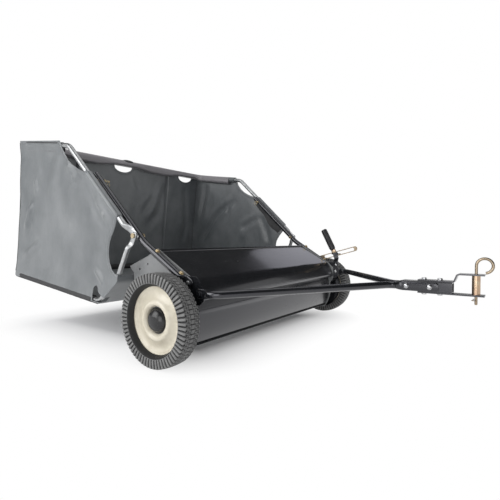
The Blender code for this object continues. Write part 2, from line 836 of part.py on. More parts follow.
def make_cross_tubes():
    join = TUBE_JOIN_X - GAP / 2
    top = rod(
        "hopper_rear_top_tube",
        HOPPER_TUBE_RADIUS,
        (-join, *UPPER_TUBE_REAR),
        (join, *UPPER_TUBE_REAR),
        10,
    )
    settle(top, "hopper", "galvanised")
    bottom = rod(
        "hopper_rear_bottom_tube",
        LOWER_TUBE_RADIUS,
        (-join, *LOWER_TUBE_REAR),
        (join, *LOWER_TUBE_REAR),
        10,
    )
    settle(bottom, "hopper", "galvanised")
    reach = HOPPER_TUBE_X - LOWER_TUBE_RADIUS - GAP
    at = along_line(DUMP_PIVOT, LOWER_TUBE_KNEE, 0.95)
    front = rod("hopper_front_rod", 0.005, (-reach, *at), (reach, *at), 10)
    settle(front, "hopper", "yellow_zinc")
    for name, side in SIDES:
        x = side * STAY_X
        top_end, bottom_end = Vector((x, *UPPER_TUBE_REAR)), Vector((x, *LOWER_TUBE_REAR))
        down = (bottom_end - top_end).normalized()
        stay = rod(
            "hopper_stay_rod_" + name,
            0.004,
            top_end + down * (HOPPER_TUBE_RADIUS + 0.0008),
            bottom_end - down * (LOWER_TUBE_RADIUS + 0.0008),
            8,
        )
        settle(stay, "hopper", "bright_zinc")


def make_bag():
    """The hopper bag: floor, rear wall, front apron and two shaped sides, open above."""
    half = HOPPER_TUBE_X + HOPPER_TUBE_RADIUS + GAP
    rear_corner = circle(LOWER_TUBE_REAR, 0.0108, 3, math.radians(-84), math.radians(6))
    wrap = [
        (0.2395, 0.2800),
        (0.2465, 0.2560),
        (0.3610, 0.1642),
        *rear_corner,
        (0.9618, 0.8550),
        (0.9616, 0.8660),
    ]
    side_front = [
        (0.600, 0.8240),
        (0.578, 0.7800),
        (0.535, 0.7230),
        (0.470, 0.7090),
        (0.241, 0.5010),
        (0.262, 0.4550),
        (0.298, 0.4080),
        (0.306, 0.3500),
        (0.284, 0.3000),
    ]
    bm = bmesh.new()
    rows = [[bm.verts.new((x, y, z)) for y, z in wrap] for x in (-half, half)]
    for i in range(len(wrap) - 1):
        bm.faces.new((rows[0][i], rows[1][i], rows[1][i + 1], rows[0][i + 1]))
    for row, x in zip(rows, (-half, half)):
        edge = [bm.verts.new((x, y, z)) for y, z in side_front]
        bm.faces.new(row + edge)
    bmesh.ops.recalc_face_normals(bm, faces=bm.faces)
    bag = from_bmesh("hopper_bag", bm)
    skin = bag.modifiers.new("skin", "SOLIDIFY")
    skin.thickness = BAG_SKIN
    skin.offset = 1.0
    skin.use_even_offset = True
    hands = [hand_hole(f"hand_hole_{i}", x) for i, x in enumerate((-0.47, -0.03, 0.47))]
    corner = rod("corner_notches", 0.026, (-0.62, 0.366, 0.216), (0.62, 0.366, 0.216))
    cut(bag, *hands, corner)
    settle(bag, "hopper", "vinyl")


def hand_hole(name, x):
    """A half-moon through the rear wall just under the top tube."""
    outline = circle((x, 0.833), 0.060, 13, math.pi, math.tau)
    curve = bpy.data.curves.new(name, "CURVE")
    curve.dimensions = "2D"
    curve.fill_mode = "BOTH"
    curve.extrude = 0.03
    spline = curve.splines.new("POLY")
    spline.points.add(len(outline) - 1)
    for point, (across, z) in zip(spline.points, outline):
        depth = 0.833 + (z - 0.833) * 0.55
        point.co = (across, depth, 0.0, 1.0)
    spline.use_cyclic_u = True
    obj = new_object(name, curve)
    obj.matrix_basis = Matrix.Translation((0, 0.965, 0)) @ Matrix.Rotation(math.pi / 2, 4, "X")
    return as_mesh(obj)


def make_latch_pin(name, side, at):
    """A clevis pin through the top of the black arm, with its hair cotter."""
    inner = SIDE_TUBE_X - TUBE_RADIUS
    outer = SIDE_TUBE_X + TUBE_RADIUS + 0.0040
    section = [
        (0.0, inner - 0.0065),
        (0.0075, inner - 0.0065),
        (0.0075, inner - 0.0015),
        (0.0040, inner - 0.0015),
        (0.0040, outer - 0.0015),
        (0.0030, outer),
        (0.0, outer),
    ]
    pin = turned("latch_pin_" + name, section, at, side, 10)
    settle(pin, "latch_pin_" + name, "yellow_zinc")


# Drawbar


def make_hitch_tube(name, side):
    """One leg of the drawbar's V: flat at its pivot, flat again where the channel takes it."""
    layer = side * DRAWBAR_LAYER_X
    rear = Vector((layer, *DRAWBAR_PIVOT))
    inner = side * (CHANNEL_HALF_WIDTH + GAP + FLAT_THICKNESS / 2)
    z_front = (CHANNEL_TOP_Z + CHANNEL_BOTTOM_Z) / 2
    start = rear + Vector((0, 0.014, 0))
    elbow = Vector((layer, -0.172, DRAWBAR_PIVOT[1] + 0.001))
    throat = Vector((inner, -0.556, z_front - 0.001))
    front = Vector((inner, -0.715, z_front))
    marks = flat_marks(start, elbow, 0.036, 0.020)
    end_marks = flat_marks(front, throat, 0.1205, 0.0215)[::-1]
    halfway = (elbow + throat) / 2
    route = marks[:-1] + rounded_route([marks[-1], elbow, halfway], 0.045)
    route += rounded_route([halfway, throat, end_marks[0]], 0.034)[1:] + end_marks[1:]
    leg = tube("hitch_tube_" + name, route, TUBE_RADIUS)
    press_flat(leg, start, elbow - start, 0.036, layer, TUBE_RADIUS)
    press_flat(leg, front, throat - front, 0.1205, inner, TUBE_RADIUS)
    bores = [
        rod("leg_bore_" + name, 0.0055, (side * 0.52, *DRAWBAR_PIVOT), (side * 0.56, *DRAWBAR_PIVOT)),
    ]
    for i, y in enumerate(CROSS_BOLT_Y):
        bores.append(
            rod(f"leg_front_bore_{i}_{name}", 0.0055, (side * 0.010, y, z_front), (side * 0.045, y, z_front)),
        )
    cut(leg, *bores)
    if side > 0:
        fuse(leg, make_lever_ear())
    settle(leg, "drawbar", "black_paint")


def make_lever_ear():
    y, z = DRAWBAR_PIVOT
    outline = circle((y, z), 0.0138, 8, math.pi, math.tau)
    outline += circle((y + 0.0005, z + 0.034), 0.0135, 7, 0.0, math.pi)
    hole = circle(DRAWBAR_PIVOT, 0.0066, 8)
    return plate("lever_ear", outline, [hole], DRAWBAR_LAYER_X, FLAT_THICKNESS - 0.0009)


def make_tongue_channel():
    """The folded channel where both legs meet, with its two cross bolts."""
    half, wall = CHANNEL_HALF_WIDTH, 0.004
    low, high = CHANNEL_BOTTOM_Z, CHANNEL_TOP_Z
    length = CHANNEL_REAR_Y - CHANNEL_FRONT_Y
    outline = [
        (-half, low),
        (-half, high - 0.003),
        (-half + 0.003, high),
        (half - 0.003, high),
        (half, high - 0.003),
        (half, low),
        (half - wall, low),
        (half - wall, high - wall),
        (-half + wall, high - wall),
        (-half + wall, low),
    ]
    channel = plate("tongue_channel", outline, [], 0.0, length)
    middle_y = (CHANNEL_REAR_Y + CHANNEL_FRONT_Y) / 2
    channel.matrix_basis = Matrix.Translation((0, middle_y, 0)) @ Matrix.Rotation(
        math.pi / 2, 4, "X"
    )
    z = (low + high) / 2
    flat_out = half + GAP + FLAT_THICKNESS + GAP
    bolts = []
    for i, y in enumerate(CROSS_BOLT_Y):
        bolts.append(
            rod(f"cross_bolt_{i}", 0.0050, (-flat_out - 0.003, y, z), (flat_out + 0.003, y, z), 8)
        )
        for label, side in SIDES:
            near, far = (side * flat_out, y, z), (side * (flat_out + 0.0055), y, z)
            bolts.append(rod(f"cross_nut_{i}_{label}", 0.0085, near, far, 6))
    fuse(channel, *bolts)
    settle(channel, "drawbar", "black_paint")


def make_clevis_straps():
    """The joggled upper strap and the straight lower one, with seats for the sleeve."""
    half_t = STRAP_THICKNESS / 2
    seat = CHANNEL_TOP_Z + GAP + half_t
    width = 0.038
    upper_line = [
        (0, -0.648, seat),
        (0, CHANNEL_FRONT_Y, seat),
        (0, -0.762, seat + 0.002),
        (0, -0.770, UPPER_STRAP_Z - 0.003),
        (0, -0.776, UPPER_STRAP_Z),
        (0, STRAP_FRONT_Y, UPPER_STRAP_Z),
    ]
    upper = strip("clevis_upper_strap", upper_line, (1, 0, 0), width, STRAP_THICKNESS)
    lower_line = [(0, -0.648, LOWER_STRAP_Z), (0, STRAP_FRONT_Y, LOWER_STRAP_Z)]
    lower = strip("clevis_lower_strap", lower_line, (1, 0, 0), width, STRAP_THICKNESS)
    for label, strap, at, outwards in (("upper", upper, seat, 1), ("lower", lower, LOWER_STRAP_Z, -1)):
        heads = []
        for i, y in enumerate(STRAP_BOLT_Y):
            near, far = at + outwards * (half_t - 0.001), at + outwards * (half_t + 0.0055)
            heads.append(rod(f"{label}_strap_head_{i}", 0.0080, (0, y, near), (0, y, far), 6))
        fuse(strap, *heads)
        z = UPPER_STRAP_Z if outwards > 0 else LOWER_STRAP_Z
        face = z - outwards * half_t
        below, above = (0, HITCH_PIN_Y, z - 0.01), (0, HITCH_PIN_Y, z + 0.01)
        bore = rod(label + "_strap_bore", HITCH_PIN_RADIUS + 0.0007, below, above, 16)
        floor = (0, HITCH_PIN_Y, face + outwards * 2 * GAP)
        seat_face = rod(
            label + "_sleeve_seat", 0.0132, floor, (0, HITCH_PIN_Y, face - outwards * 0.002), 20
        )
        cut(strap, bore, seat_face)
        settle(strap, "drawbar", "black_paint")
    sleeve = rod(
        "hitch_spacer_sleeve",
        0.0125,
        (0, HITCH_PIN_Y, LOWER_STRAP_Z + half_t - GAP),
        (0, HITCH_PIN_Y, UPPER_STRAP_Z - half_t + GAP),
        20,
    )
    cut(
        sleeve,
        rod("sleeve_bore", HITCH_PIN_RADIUS + 0.0007, (0, HITCH_PIN_Y, 0.20), (0, HITCH_PIN_Y, 0.32), 16),
    )
    settle(sleeve, "drawbar", "yellow_zinc")


def make_hitch_pin():
    """The pin bent into its own loop handle, and the hair cotter that holds it."""
    loop = (HITCH_PIN_Y - 0.0235, 0.3245)
    turns = circle(loop, 0.0235, 13, 0.0, math.radians(262))
    route = [(0, HITCH_PIN_Y, 0.196), (0, HITCH_PIN_Y, 0.300)] + [(0, y, z) for y, z in turns]
    pin = tube("hitch_pin", route, HITCH_PIN_RADIUS, 2)
    hole_z = COTTER_Z
    cut(pin, rod("cotter_bore", 0.0017, (-0.02, HITCH_PIN_Y, hole_z), (0.02, HITCH_PIN_Y, hole_z), 8))
    settle(pin, "hitch_pin", "bright_zinc")
    eye = circle((-0.0215, HITCH_PIN_Y + 0.0050), 0.0050, 7, -math.pi / 2, -math.pi * 1.5)
    side_leg = [(-0.0120, 0.0082), (-0.0060, 0.0074), (0.0, 0.0076), (0.0070, 0.0074), (0.0140, 0.0100)]
    wire = [(0.0160, HITCH_PIN_Y, hole_z)]
    wire += [(x, y, hole_z) for x, y in eye]
    wire += [(x, HITCH_PIN_Y + y, hole_z) for x, y in side_leg]
    cotter = tube("hitch_pin_cotter", wire, 0.00125, 2)
    settle(cotter, "hitch_pin_cotter", "bright_zinc")


def make_height_lever():
    """The cranked flat bar bolted to the left leg, and its ribbed grip."""
    low_x = DRAWBAR_LAYER_X + FLAT_THICKNESS / 2 + GAP + 0.0025
    high_x = 0.5642
    lean = Vector((0, GRIP_TOP[0] - LEVER_LOCK[0], GRIP_TOP[1] - LEVER_LOCK[1])).normalized()
    top = Vector((high_x, *GRIP_TOP)) - lean * 0.020
    line = [
        (low_x, -0.1060, 0.2200),
        (low_x, -0.1045, 0.2870),
        (high_x, -0.1010, 0.3060),
        (high_x, *LEVER_LOCK),
        tuple(top),
    ]
    bar = strip("height_lever", line, (0, 1.0, -0.30), 0.025, 0.005)
    lock_head = rod(
        "lock_bolt_head", 0.0085, (high_x - 0.0075, *LEVER_LOCK), (high_x - 0.0020, *LEVER_LOCK), 10
    )
    lock_bolt = rod("lock_bolt", 0.0040, (high_x - 0.004, *LEVER_LOCK), (0.5880, *LEVER_LOCK))
    ear_bolt_at = (DRAWBAR_PIVOT[0] + 0.0005, DRAWBAR_PIVOT[1] + 0.034)
    ear_bolt = rod("ear_bolt", 0.0070, (low_x + 0.001, *ear_bolt_at), (low_x + 0.007, *ear_bolt_at), 6)
    fuse(bar, lock_head, lock_bolt, ear_bolt)
    cut(bar, rod("lever_bore", 0.0055, (0.53, *DRAWBAR_PIVOT), (0.56, *DRAWBAR_PIVOT)))
    settle(bar, "drawbar", "black_paint")
    make_grip(high_x, lean)


def make_grip(x, lean):
    """A ribbed plastic grip pushed over the lever's end."""
    length, ribs = 0.122, 4
    top = Vector((x, *GRIP_TOP))
    foot = top - lean * length
    section = [(0.0, 0.0), (0.0145, 0.0), (0.0165, 0.003)]
    for i in range(ribs):
        base = 0.010 + i * (length - 0.022) / ribs
        section += [(0.0165, base + 0.004), (0.0150, base + 0.010), (0.0165, base + 0.014)]
    section += [(0.0165, length - 0.004), (0.0130, length), (0.0, length)]
    bm = bmesh.new()
    verts = [bm.verts.new((r, 0.0, a)) for r, a in reversed(section)]
    for first, second in zip(verts, verts[1:]):
        bm.edges.new((first, second))
    grip = from_bmesh("lever_grip", bm)
    screw = grip.modifiers.new("turn", "SCREW")
    screw.steps = 10
    screw.render_steps = 10
    screw.use_merge_vertices = True
    screw.merge_threshold = 1e-5
    grip.matrix_basis = Matrix.Translation(foot) @ lean.to_track_quat("Z", "X").to_matrix().to_4x4()
    grip = as_mesh(grip)
    pocket = box("grip_pocket", (-0.0029, -0.0130, -0.01), (0.0029, 0.0130, length - 0.012))
    pocket.matrix_basis = Matrix.Translation(foot) @ lean_frame(lean)
    cut(grip, pocket)
    settle(grip, "drawbar", "black_plastic")


def lean_frame(lean):
    """A frame whose Z runs up the lever, with X across the machine."""
    across = Vector((1, 0, 0))
    back = lean.cross(across)
    return Matrix((across, back, lean)).transposed().to_4x4()


def make_adjuster():
    """The slotted strap on the left arm, and the wing knob that clamps the lever to it."""
    pivot, tip = Vector(ADJUSTER_PIVOT), Vector(ADJUSTER_TIP)
    along = (tip - pivot).normalized()
    angle = math.atan2(along.y, along.x)
    half = 0.0135
    outline = circle(pivot, half, 9, angle + math.pi / 2, angle + math.pi * 1.5)
    outline += circle(tip, half, 9, angle - math.pi / 2, angle + math.pi / 2)
    slot_half = 0.0068
    near, far = pivot + along * 0.034, pivot + along * 0.196
    slot = circle(near, slot_half, 7, angle + math.pi / 2, angle + math.pi * 1.5)
    slot += circle(far, slot_half, 7, angle - math.pi / 2, angle + math.pi / 2)
    inner = 0.5670 + GAP
    strap = plate("adjuster_strap", outline, [slot, circle(pivot, 0.0046, 10)], inner + 0.0015, 0.003)
    settle(strap, "adjuster_strap", "bright_zinc")
    knob_x = inner + 0.003 + GAP
    hub = [(0.0043, knob_x), (0.0110, knob_x), (0.0100, knob_x + 0.014), (0.0043, knob_x + 0.014)]
    knob = turned("wing_knob", hub, LEVER_LOCK, 1, 16)
    wings = []
    for i, way in enumerate((-1, 1)):
        y, z = LEVER_LOCK
        reach = 0.0240
        low = (knob_x + 0.001, min(y + way * 0.0075, y + way * reach), z - 0.0030)
        high = (knob_x + 0.016, max(y + way * 0.0075, y + way * reach), z + 0.0030)
        wings.append(box(f"knob_wing_{i}", low, high))
    fuse(knob, *wings)
    settle(knob, "wing_knob", "black_plastic")


def build():
    make_hood()
    latch = None
    for name, side in SIDES:
        make_end_plate(name, side)
        latch = make_side_tube(name, side)
        make_hitch_bracket(name, side)
        make_brush_bearing(name, side)
        make_axle_bolt(name, side)
        make_gear_cover(name, side)
        make_pivot_bolt(name, side)
        make_tyre(name, side)
        make_wheel_disc(name, side)
        make_ring_gear(name, side)
        make_hub_cap(name, side)
        make_upper_tube(name, side)
        make_lower_tube(name, side)
        make_latch_pin(name, side, latch)
        make_hitch_tube(name, side)
    make_pinion("right", -1, "brush")
    make_pinion("left", 1, "pinion_left")
    make_brush()
    make_cross_tubes()
    make_bag()
    make_tongue_channel()
    make_clevis_straps()
    make_hitch_pin()
    make_height_lever()
    make_adjuster()


clear_scene()
PARTS = new_collection("lawn_sweeper")
CUTTERS = new_collection("cutters")
CUTTERS.hide_render = True
MACHINE = new_empty("sweeper", None, (0.0, -ORIGIN_Y, 0.0))
LATCH = along_line(SIDE_TUBE_BEND, SIDE_TUBE_TOP, 0.90)
AXES = {
    name: new_empty("axis_" + name, MACHINE, at)
    for name, at in {
        "root": (0.0, 0.0, 0.0),
        "wheel_right": (-TYRE_MID_X, *AXLE),
        "wheel_left": (TYRE_MID_X, *AXLE),
        "brush": (0.0, *BRUSH),
        "pinion_left": (GEAR_IN_X, *BRUSH),
        "hopper": (0.0, *DUMP_PIVOT),
        "drawbar": (0.0, *DRAWBAR_PIVOT),
        "adjuster_strap": (SIDE_TUBE_X, *ADJUSTER_PIVOT),
        "wing_knob": (SIDE_TUBE_X, *LEVER_LOCK),
        "hitch_pin": (0.0, HITCH_PIN_Y, UPPER_STRAP_Z),
        "hitch_pin_cotter": (0.0, HITCH_PIN_Y, COTTER_Z),
        "latch_pin_right": (-SIDE_TUBE_X, *LATCH),
        "latch_pin_left": (SIDE_TUBE_X, *LATCH),
    }.items()
}
build()
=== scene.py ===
# %% [markdown]
# # A tow-behind lawn sweeper
# A sweeper is towed over a lawn. Its wheels turn a brush under a steel hood, and the brush
# throws leaves back into a bag on a tube frame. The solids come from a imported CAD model.
# This lesson puts finer shapes and real finishes around them, piece by piece.

import json
import math
import random
from contextlib import contextmanager

import bmesh
import bpy
from mathutils import Matrix, Vector, noise

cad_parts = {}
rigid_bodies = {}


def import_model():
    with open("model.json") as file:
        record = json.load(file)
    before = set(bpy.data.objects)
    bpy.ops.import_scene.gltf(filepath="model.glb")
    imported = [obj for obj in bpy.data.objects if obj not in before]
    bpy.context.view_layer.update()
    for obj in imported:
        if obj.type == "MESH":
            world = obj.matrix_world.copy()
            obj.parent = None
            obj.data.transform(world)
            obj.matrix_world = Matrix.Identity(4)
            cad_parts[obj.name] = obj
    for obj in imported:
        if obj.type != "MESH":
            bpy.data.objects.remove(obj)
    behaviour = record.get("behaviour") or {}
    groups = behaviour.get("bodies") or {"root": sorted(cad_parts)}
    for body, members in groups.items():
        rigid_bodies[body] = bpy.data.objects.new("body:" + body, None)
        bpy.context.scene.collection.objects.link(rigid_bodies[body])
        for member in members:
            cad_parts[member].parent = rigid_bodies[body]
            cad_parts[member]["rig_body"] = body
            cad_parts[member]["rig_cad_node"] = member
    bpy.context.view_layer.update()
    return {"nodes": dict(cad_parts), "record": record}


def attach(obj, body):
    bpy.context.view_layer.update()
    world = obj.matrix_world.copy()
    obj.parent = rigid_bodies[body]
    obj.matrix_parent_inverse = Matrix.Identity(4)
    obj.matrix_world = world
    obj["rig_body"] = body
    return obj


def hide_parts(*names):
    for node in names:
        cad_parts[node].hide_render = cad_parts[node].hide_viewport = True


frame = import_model()
bpy.ops.object.select_all(action="DESELECT")
AXLE_Y = -0.0772
WHEEL_RADIUS = 0.1525
AXLE = (AXLE_Y, WHEEL_RADIUS)
SIDES = (("right", -1), ("left", 1))

# %% [markdown]
# ## Camera
# The photograph was taken from the front right corner at the height of the hopper's
# middle. A camera could be placed by eye. This one was worked out from points of the
# photograph whose real places are known, so that every tube falls where it should.

# %% Camera
CAMERA_PLACE = (-1.4666, -1.0379, 0.4114)
VIEW_YAW, VIEW_PITCH = math.radians(35.40), math.radians(-1.38)
LENS, SHIFT = 28.16, (-0.0002, -0.003)
turn = (math.pi / 2 + VIEW_PITCH, 0.0, VIEW_YAW - math.pi / 2)
bpy.ops.object.camera_add(location=CAMERA_PLACE, rotation=turn)
camera = bpy.context.active_object
camera.data.sensor_width, camera.data.lens = 36.0, LENS
camera.data.shift_x, camera.data.shift_y = SHIFT
camera.data.clip_start = 0.02
bpy.context.scene.camera = camera
bpy.context.scene.view_settings.view_transform = "Standard"
print("camera", camera.data.lens, "mm")

# %% [markdown]
# ## Shader sums as Python
# A shader is a sum of small nodes. Adding them one by one hides what they work out, so a
# small class stands for one output and lets Python's own +, -, * and ** build maths nodes.


# %% Shader helpers
FINISHES = {}


class Field:
    """One number, colour or vector that varies over a surface."""

    def __init__(self, finish, socket):
        self.finish, self.socket = finish, socket

    def maths(self, operation, first, second):
        return self.finish.node("Math", {0: first, 1: second}, operation=operation)

    def __add__(self, other):
        return self.maths("ADD", self, other)

    def __sub__(self, other):
        return self.maths("SUBTRACT", self, other)

    def __rsub__(self, other):
        return self.maths("SUBTRACT", other, self)

    def __mul__(self, other):
        return self.maths("MULTIPLY", self, other)

    def __pow__(self, other):
        return self.maths("POWER", self, other)

    __radd__, __rmul__ = __add__, __mul__


class Finish:
    """A material with one shader, whose sockets take fields. The record's slot may be another's."""

    def __init__(self, name, colour, roughness, slot=None, metallic=0.0, coat=0.0, coat_roughness=0.1):
        self.slot = slot or name
        self.material = bpy.data.materials.new(name)
        self.material.use_nodes = True
        self.tree = self.material.node_tree
        self.shader = self.tree.nodes["Principled BSDF"]
        self.preset({"Base Color": (*colour, 1.0), "Roughness": roughness, "Metallic": metallic})
        self.preset({"Coat Weight": coat, "Coat Roughness": coat_roughness})
        FINISHES[name] = self

    def preset(self, values):
        for socket, value in values.items():
            self.shader.inputs[socket].default_value = value

    def node(self, kind, values=None, output=0, **settings):
        made = self.tree.nodes.new("ShaderNode" + kind)
        for key, value in settings.items():
            if key == "stops":
                stops = made.color_ramp.elements
                for i, (place, colour) in enumerate(value):
                    stop = stops[i] if i < 2 else stops.new(place)
                    stop.position, stop.color = place, (*colour, 1.0)
            else:
                setattr(made, key, value)
        for key, value in (values or {}).items():
            if isinstance(value, Field):
                self.tree.links.new(value.socket, made.inputs[key])
            else:
                made.inputs[key].default_value = value
        return Field(self, made.outputs[output])

    def place(self, stretch=(1, 1, 1), turn=(0, 0, 0)):
        """Object coordinates, in metres, which are the machine's own frame."""
        values = {"Vector": self.node("TexCoord", output=3), "Scale": stretch, "Rotation": turn}
        return self.node("Mapping", values, vector_type="POINT")

    def cloud(self, scale, detail=3.0, rough=0.55, stretch=(1, 1, 1), turn=(0, 0, 0)):
        values = {"Vector": self.place(stretch, turn), "Scale": scale, "Detail": detail, "Roughness": rough}
        return self.node("TexNoise", values)

    def cells(self, scale, feature="F1", output=0, stretch=(1, 1, 1)):
        values = {"Vector": self.place(stretch), "Scale": scale}
        return self.node("TexVoronoi", values, output, feature=feature)

    def span(self, field, low, high, to_low=0.0, to_high=1.0):
        return self.node("MapRange", {0: field, 1: low, 2: high, 3: to_low, 4: to_high}, clamp=True)

    def mix(self, share, first, second, **settings):
        """The first colour where the share is 0, and the second where it is 1."""
        first, second = [c if isinstance(c, Field) else (*c, 1.0) for c in (first, second)]
        return self.node("Mix", {0: share, 6: first, 7: second}, 2, data_type="RGBA", **settings)

    def ray(self, kind):
        """One where a ray of this kind arrives, and nought elsewhere."""
        return self.node("LightPath", output=f"Is {kind} Ray")

    def feed(self, socket, field):
        self.tree.links.new(field.socket, self.shader.inputs[socket])

    def worn(self, share, new, old, dull, change):
        """Lets the colour and the roughness both follow how worn or dusty a place is, and on the tyres also
        their painted sheen and shade.
        """
        self.feed("Base Color", self.mix(share, new, old))
        self.feed("Roughness", dull + share * change)

    def bump(self, height, depth, strength=1.0):
        self.feed("Normal", self.node("Bump", {"Height": height, "Distance": depth, "Strength": strength}))


# %% [markdown]
# ## Black paint
# The hood, plates and drawbar have a thick powder coat: deep black and glossy, a little
# blue where it shines, with a faint orange peel. Dust settles in clouds and dulls the
# gloss in places. The peel is bump from fine noise.

# %% Black paint
made = Finish("black_paint", (0.008, 0.009, 0.011), 0.24, coat=0.7, coat_roughness=0.10)
dust = made.span(made.cloud(4.0, 6.0, 0.62), 0.50, 0.80)
made.worn(dust, (0.0070, 0.0078, 0.0095), (0.0130, 0.0135, 0.0145), made.cloud(60.0, 2.0) * 0.04 + 0.20, 0.10)
made.bump(made.cloud(300.0, 1.0), 0.00003, 0.20)
made.preset({"Specular Tint": (0.90, 0.90, 1.0, 1.0)})

# %% [markdown]
# ## Moulded black plastic
# The grip, gears and bearings are moulded. Plastic of this kind has a fine spark-eroded
# grain and a soft sheen, so the bump is a tight cell pattern. The hub caps are moulded in
# a polished tool, so they are glossier.

# %% Black plastic
made = Finish("black_plastic", (0.022, 0.022, 0.024), 0.42)
worn = made.span(made.cloud(22.0, 5.0, 0.6), 0.45, 0.75)
made.worn(worn, (0.018, 0.018, 0.020), (0.040, 0.040, 0.042), 0.38, 0.18)
made.bump(made.cells(900.0), 0.00008, 0.5)

made = Finish("cap_plastic", (0.012, 0.012, 0.013), 0.24, "black_plastic")
made.worn(made.cloud(30.0, 4.0, 0.6), (0.010, 0.010, 0.011), (0.019, 0.019, 0.020), 0.19, 0.12)
made.bump(made.cloud(420.0, 2.0), 0.00004, 0.3)

# %% [markdown]
# ## Plated steel
# The hopper tubes are galvanised, with pale crystals. The bolts are plated with yellow
# zinc, which turns from gold to rose and green, or with bright zinc, which is bluish. The
# strap and pin have worn to brown, and the hitch sleeve is the most coppery.


# %% Plated steels
def plated(name, tones, roughness, crystal, spread=0.12, slot=None):
    made = Finish(name, tones[0], roughness, slot, metallic=1.0)
    stops = [(0.30 + 0.40 * i / (len(tones) - 1), tone) for i, tone in enumerate(tones)]
    tint = made.node("ValToRGB", {0: made.cloud(38.0, 4.0, 0.6)}, stops=stops)
    facets = made.node("SeparateColor", {0: made.cells(crystal, output=1)})
    shade = made.mix(facets * spread, (1.0, 1.0, 1.0), (0.35, 0.36, 0.38))
    made.feed("Base Color", made.mix(1.0, tint, shade, blend_type="MULTIPLY"))
    made.feed("Roughness", roughness - 0.06 + facets * 0.10 + made.cloud(160.0, 3.0) * 0.08)
    made.bump(made.cloud(600.0, 2.0), 0.00004, 0.4)


GOLD = [(0.64, 0.57, 0.38), (0.60, 0.48, 0.31), (0.52, 0.52, 0.40)]
BROWN = [(0.32, 0.25, 0.18), (0.40, 0.32, 0.23), (0.27, 0.24, 0.19)]
COPPER = [(0.48, 0.31, 0.22), (0.60, 0.44, 0.30), (0.62, 0.55, 0.40)]
plated("galvanised", [(0.42, 0.43, 0.44), (0.56, 0.57, 0.57)], 0.36, 240.0, 0.25)
plated("yellow_zinc", GOLD, 0.27, 700.0)
plated("bright_zinc", [(0.50, 0.51, 0.53), (0.64, 0.64, 0.64)], 0.26, 500.0)
plated("rod_zinc", BROWN, 0.30, 600.0, slot="yellow_zinc")
plated("sleeve_zinc", COPPER, 0.24, 600.0, slot="yellow_zinc")

# %% [markdown]
# ## Side plates
# The plates behind the wheels have the same coat, painted a dull grey with small pale
# chips. The grey, in cloudy patches, is painted sheen where light catches the black coat.

# %% Plates with painted sheen
made = Finish("painted_sheen_grey_paint", (0.10, 0.103, 0.106), 0.42, "black_paint")
chips = made.span(made.cells(260.0), 0.05, 0.16, 1.0, 0.0)
sheen_film = made.span(made.cloud(9.0, 6.0, 0.62), 0.30, 0.72)
grey = made.mix(sheen_film, (0.165, 0.170, 0.174), (0.230, 0.235, 0.238))
made.feed("Base Color", made.mix(chips * 0.5, grey, (0.42, 0.42, 0.42)))
made.feed("Roughness", 0.36 + sheen_film * 0.16)
made.bump(made.cloud(300.0, 2.0), 0.00004, 0.3)

# %% [markdown]
# ## Cream enamel
# The pressed wheels are dipped in cream enamel, glossy and a little uneven, with road
# dust in clouds over it.

# %% Cream enamel
made = Finish("cream_paint", (0.64, 0.59, 0.475), 0.34, coat=0.25, coat_roughness=0.15)
stain = made.span(made.cloud(16.0, 6.0, 0.65), 0.46, 0.80)
made.worn(stain, (0.56, 0.52, 0.425), (0.42, 0.38, 0.29), 0.30, 0.22)
made.bump(made.cloud(300.0, 2.0), 0.00006, 0.35)

# %% [markdown]
# ## Tyre rubber
# New rubber is nearly black and dull, and it dries to grey on the ribs where it rubs.
# The grey on rib and tread tops is partly that wear and partly painted sheen, and the
# gaps between them are painted near-black as shade.

# %% Rubber
made = Finish("rubber", (0.030, 0.031, 0.033), 0.62)
# Rib and tread tops get worn grey with a painted sheen, and the gaps a painted shade.
rubbed = made.node("Attribute", None, 2, attribute_name="rubbed")
chalk = made.span(made.cloud(30.0, 6.0, 0.65), 0.30, 0.75)
crest = made.mix(chalk, (0.105, 0.106, 0.106), (0.190, 0.190, 0.188))
made.worn(rubbed, (0.010, 0.0105, 0.011), crest, chalk * 0.1 + 0.62, -0.14)
made.bump(made.cloud(900.0, 3.0), 0.00010, 0.5)

# %% [markdown]
# ## Coated cloth
# The bag is woven polyester with a vinyl skin. Up close the weave shows through the skin
# as small squares, and from afar it is a soft sheen with cloudy wear and creases. All of
# it is bump from noise and cells in the machine's frame, so it doesn't need a UV map.


# %% Coated cloth
def coated_cloth(name, dark, pale, sheen, dull=0.42, slot="vinyl"):
    made = Finish(name, dark, dull + 0.06, slot)
    scuffs = made.cloud(2.6, 8.0, 0.66, (1.0, 1.0, 0.55), (0.6, 0.0, 0.0))
    haze = made.span(made.cloud(5.0, 7.0, 0.64) * 0.5 + scuffs * 0.5, 0.38, 0.66)
    made.worn(haze, dark, pale, dull, 0.14)
    weave = made.cells(620.0, "SMOOTH_F1") * 0.5 + made.cloud(1400.0, 2.0) * 0.3
    creases = made.cloud(6.0, 5.0, 0.55, (1.0, 1.0, 0.35), (0.5, 0.0, 0.0))
    crumple = made.cells(11.0, "SMOOTH_F1", 0, (1.0, 1.0, 0.6))
    made.bump(weave * 0.06 + creases * 1.6 + crumple * 0.5, 0.0060, 0.42)
    made.preset({"Specular IOR Level": 0.9, "Sheen Weight": sheen, "Sheen Roughness": 0.35})


coated_cloth("vinyl", (0.084, 0.094, 0.101), (0.182, 0.192, 0.199), 0.35, 0.38)
# A near-black copy of the vinyl: dark trim, and painted shade on the bottom sleeve, the inner strips and the
# line by a stay pocket.
coated_cloth("vinyl_trim_and_painted_shade", (0.010, 0.0105, 0.012), (0.018, 0.0185, 0.021), 0.0, 0.62)
# A lighter copy of the vinyl for the top flap: painted light on its face.
coated_cloth("vinyl_painted_light", (0.160, 0.154, 0.166), (0.215, 0.206, 0.220), 0.35)

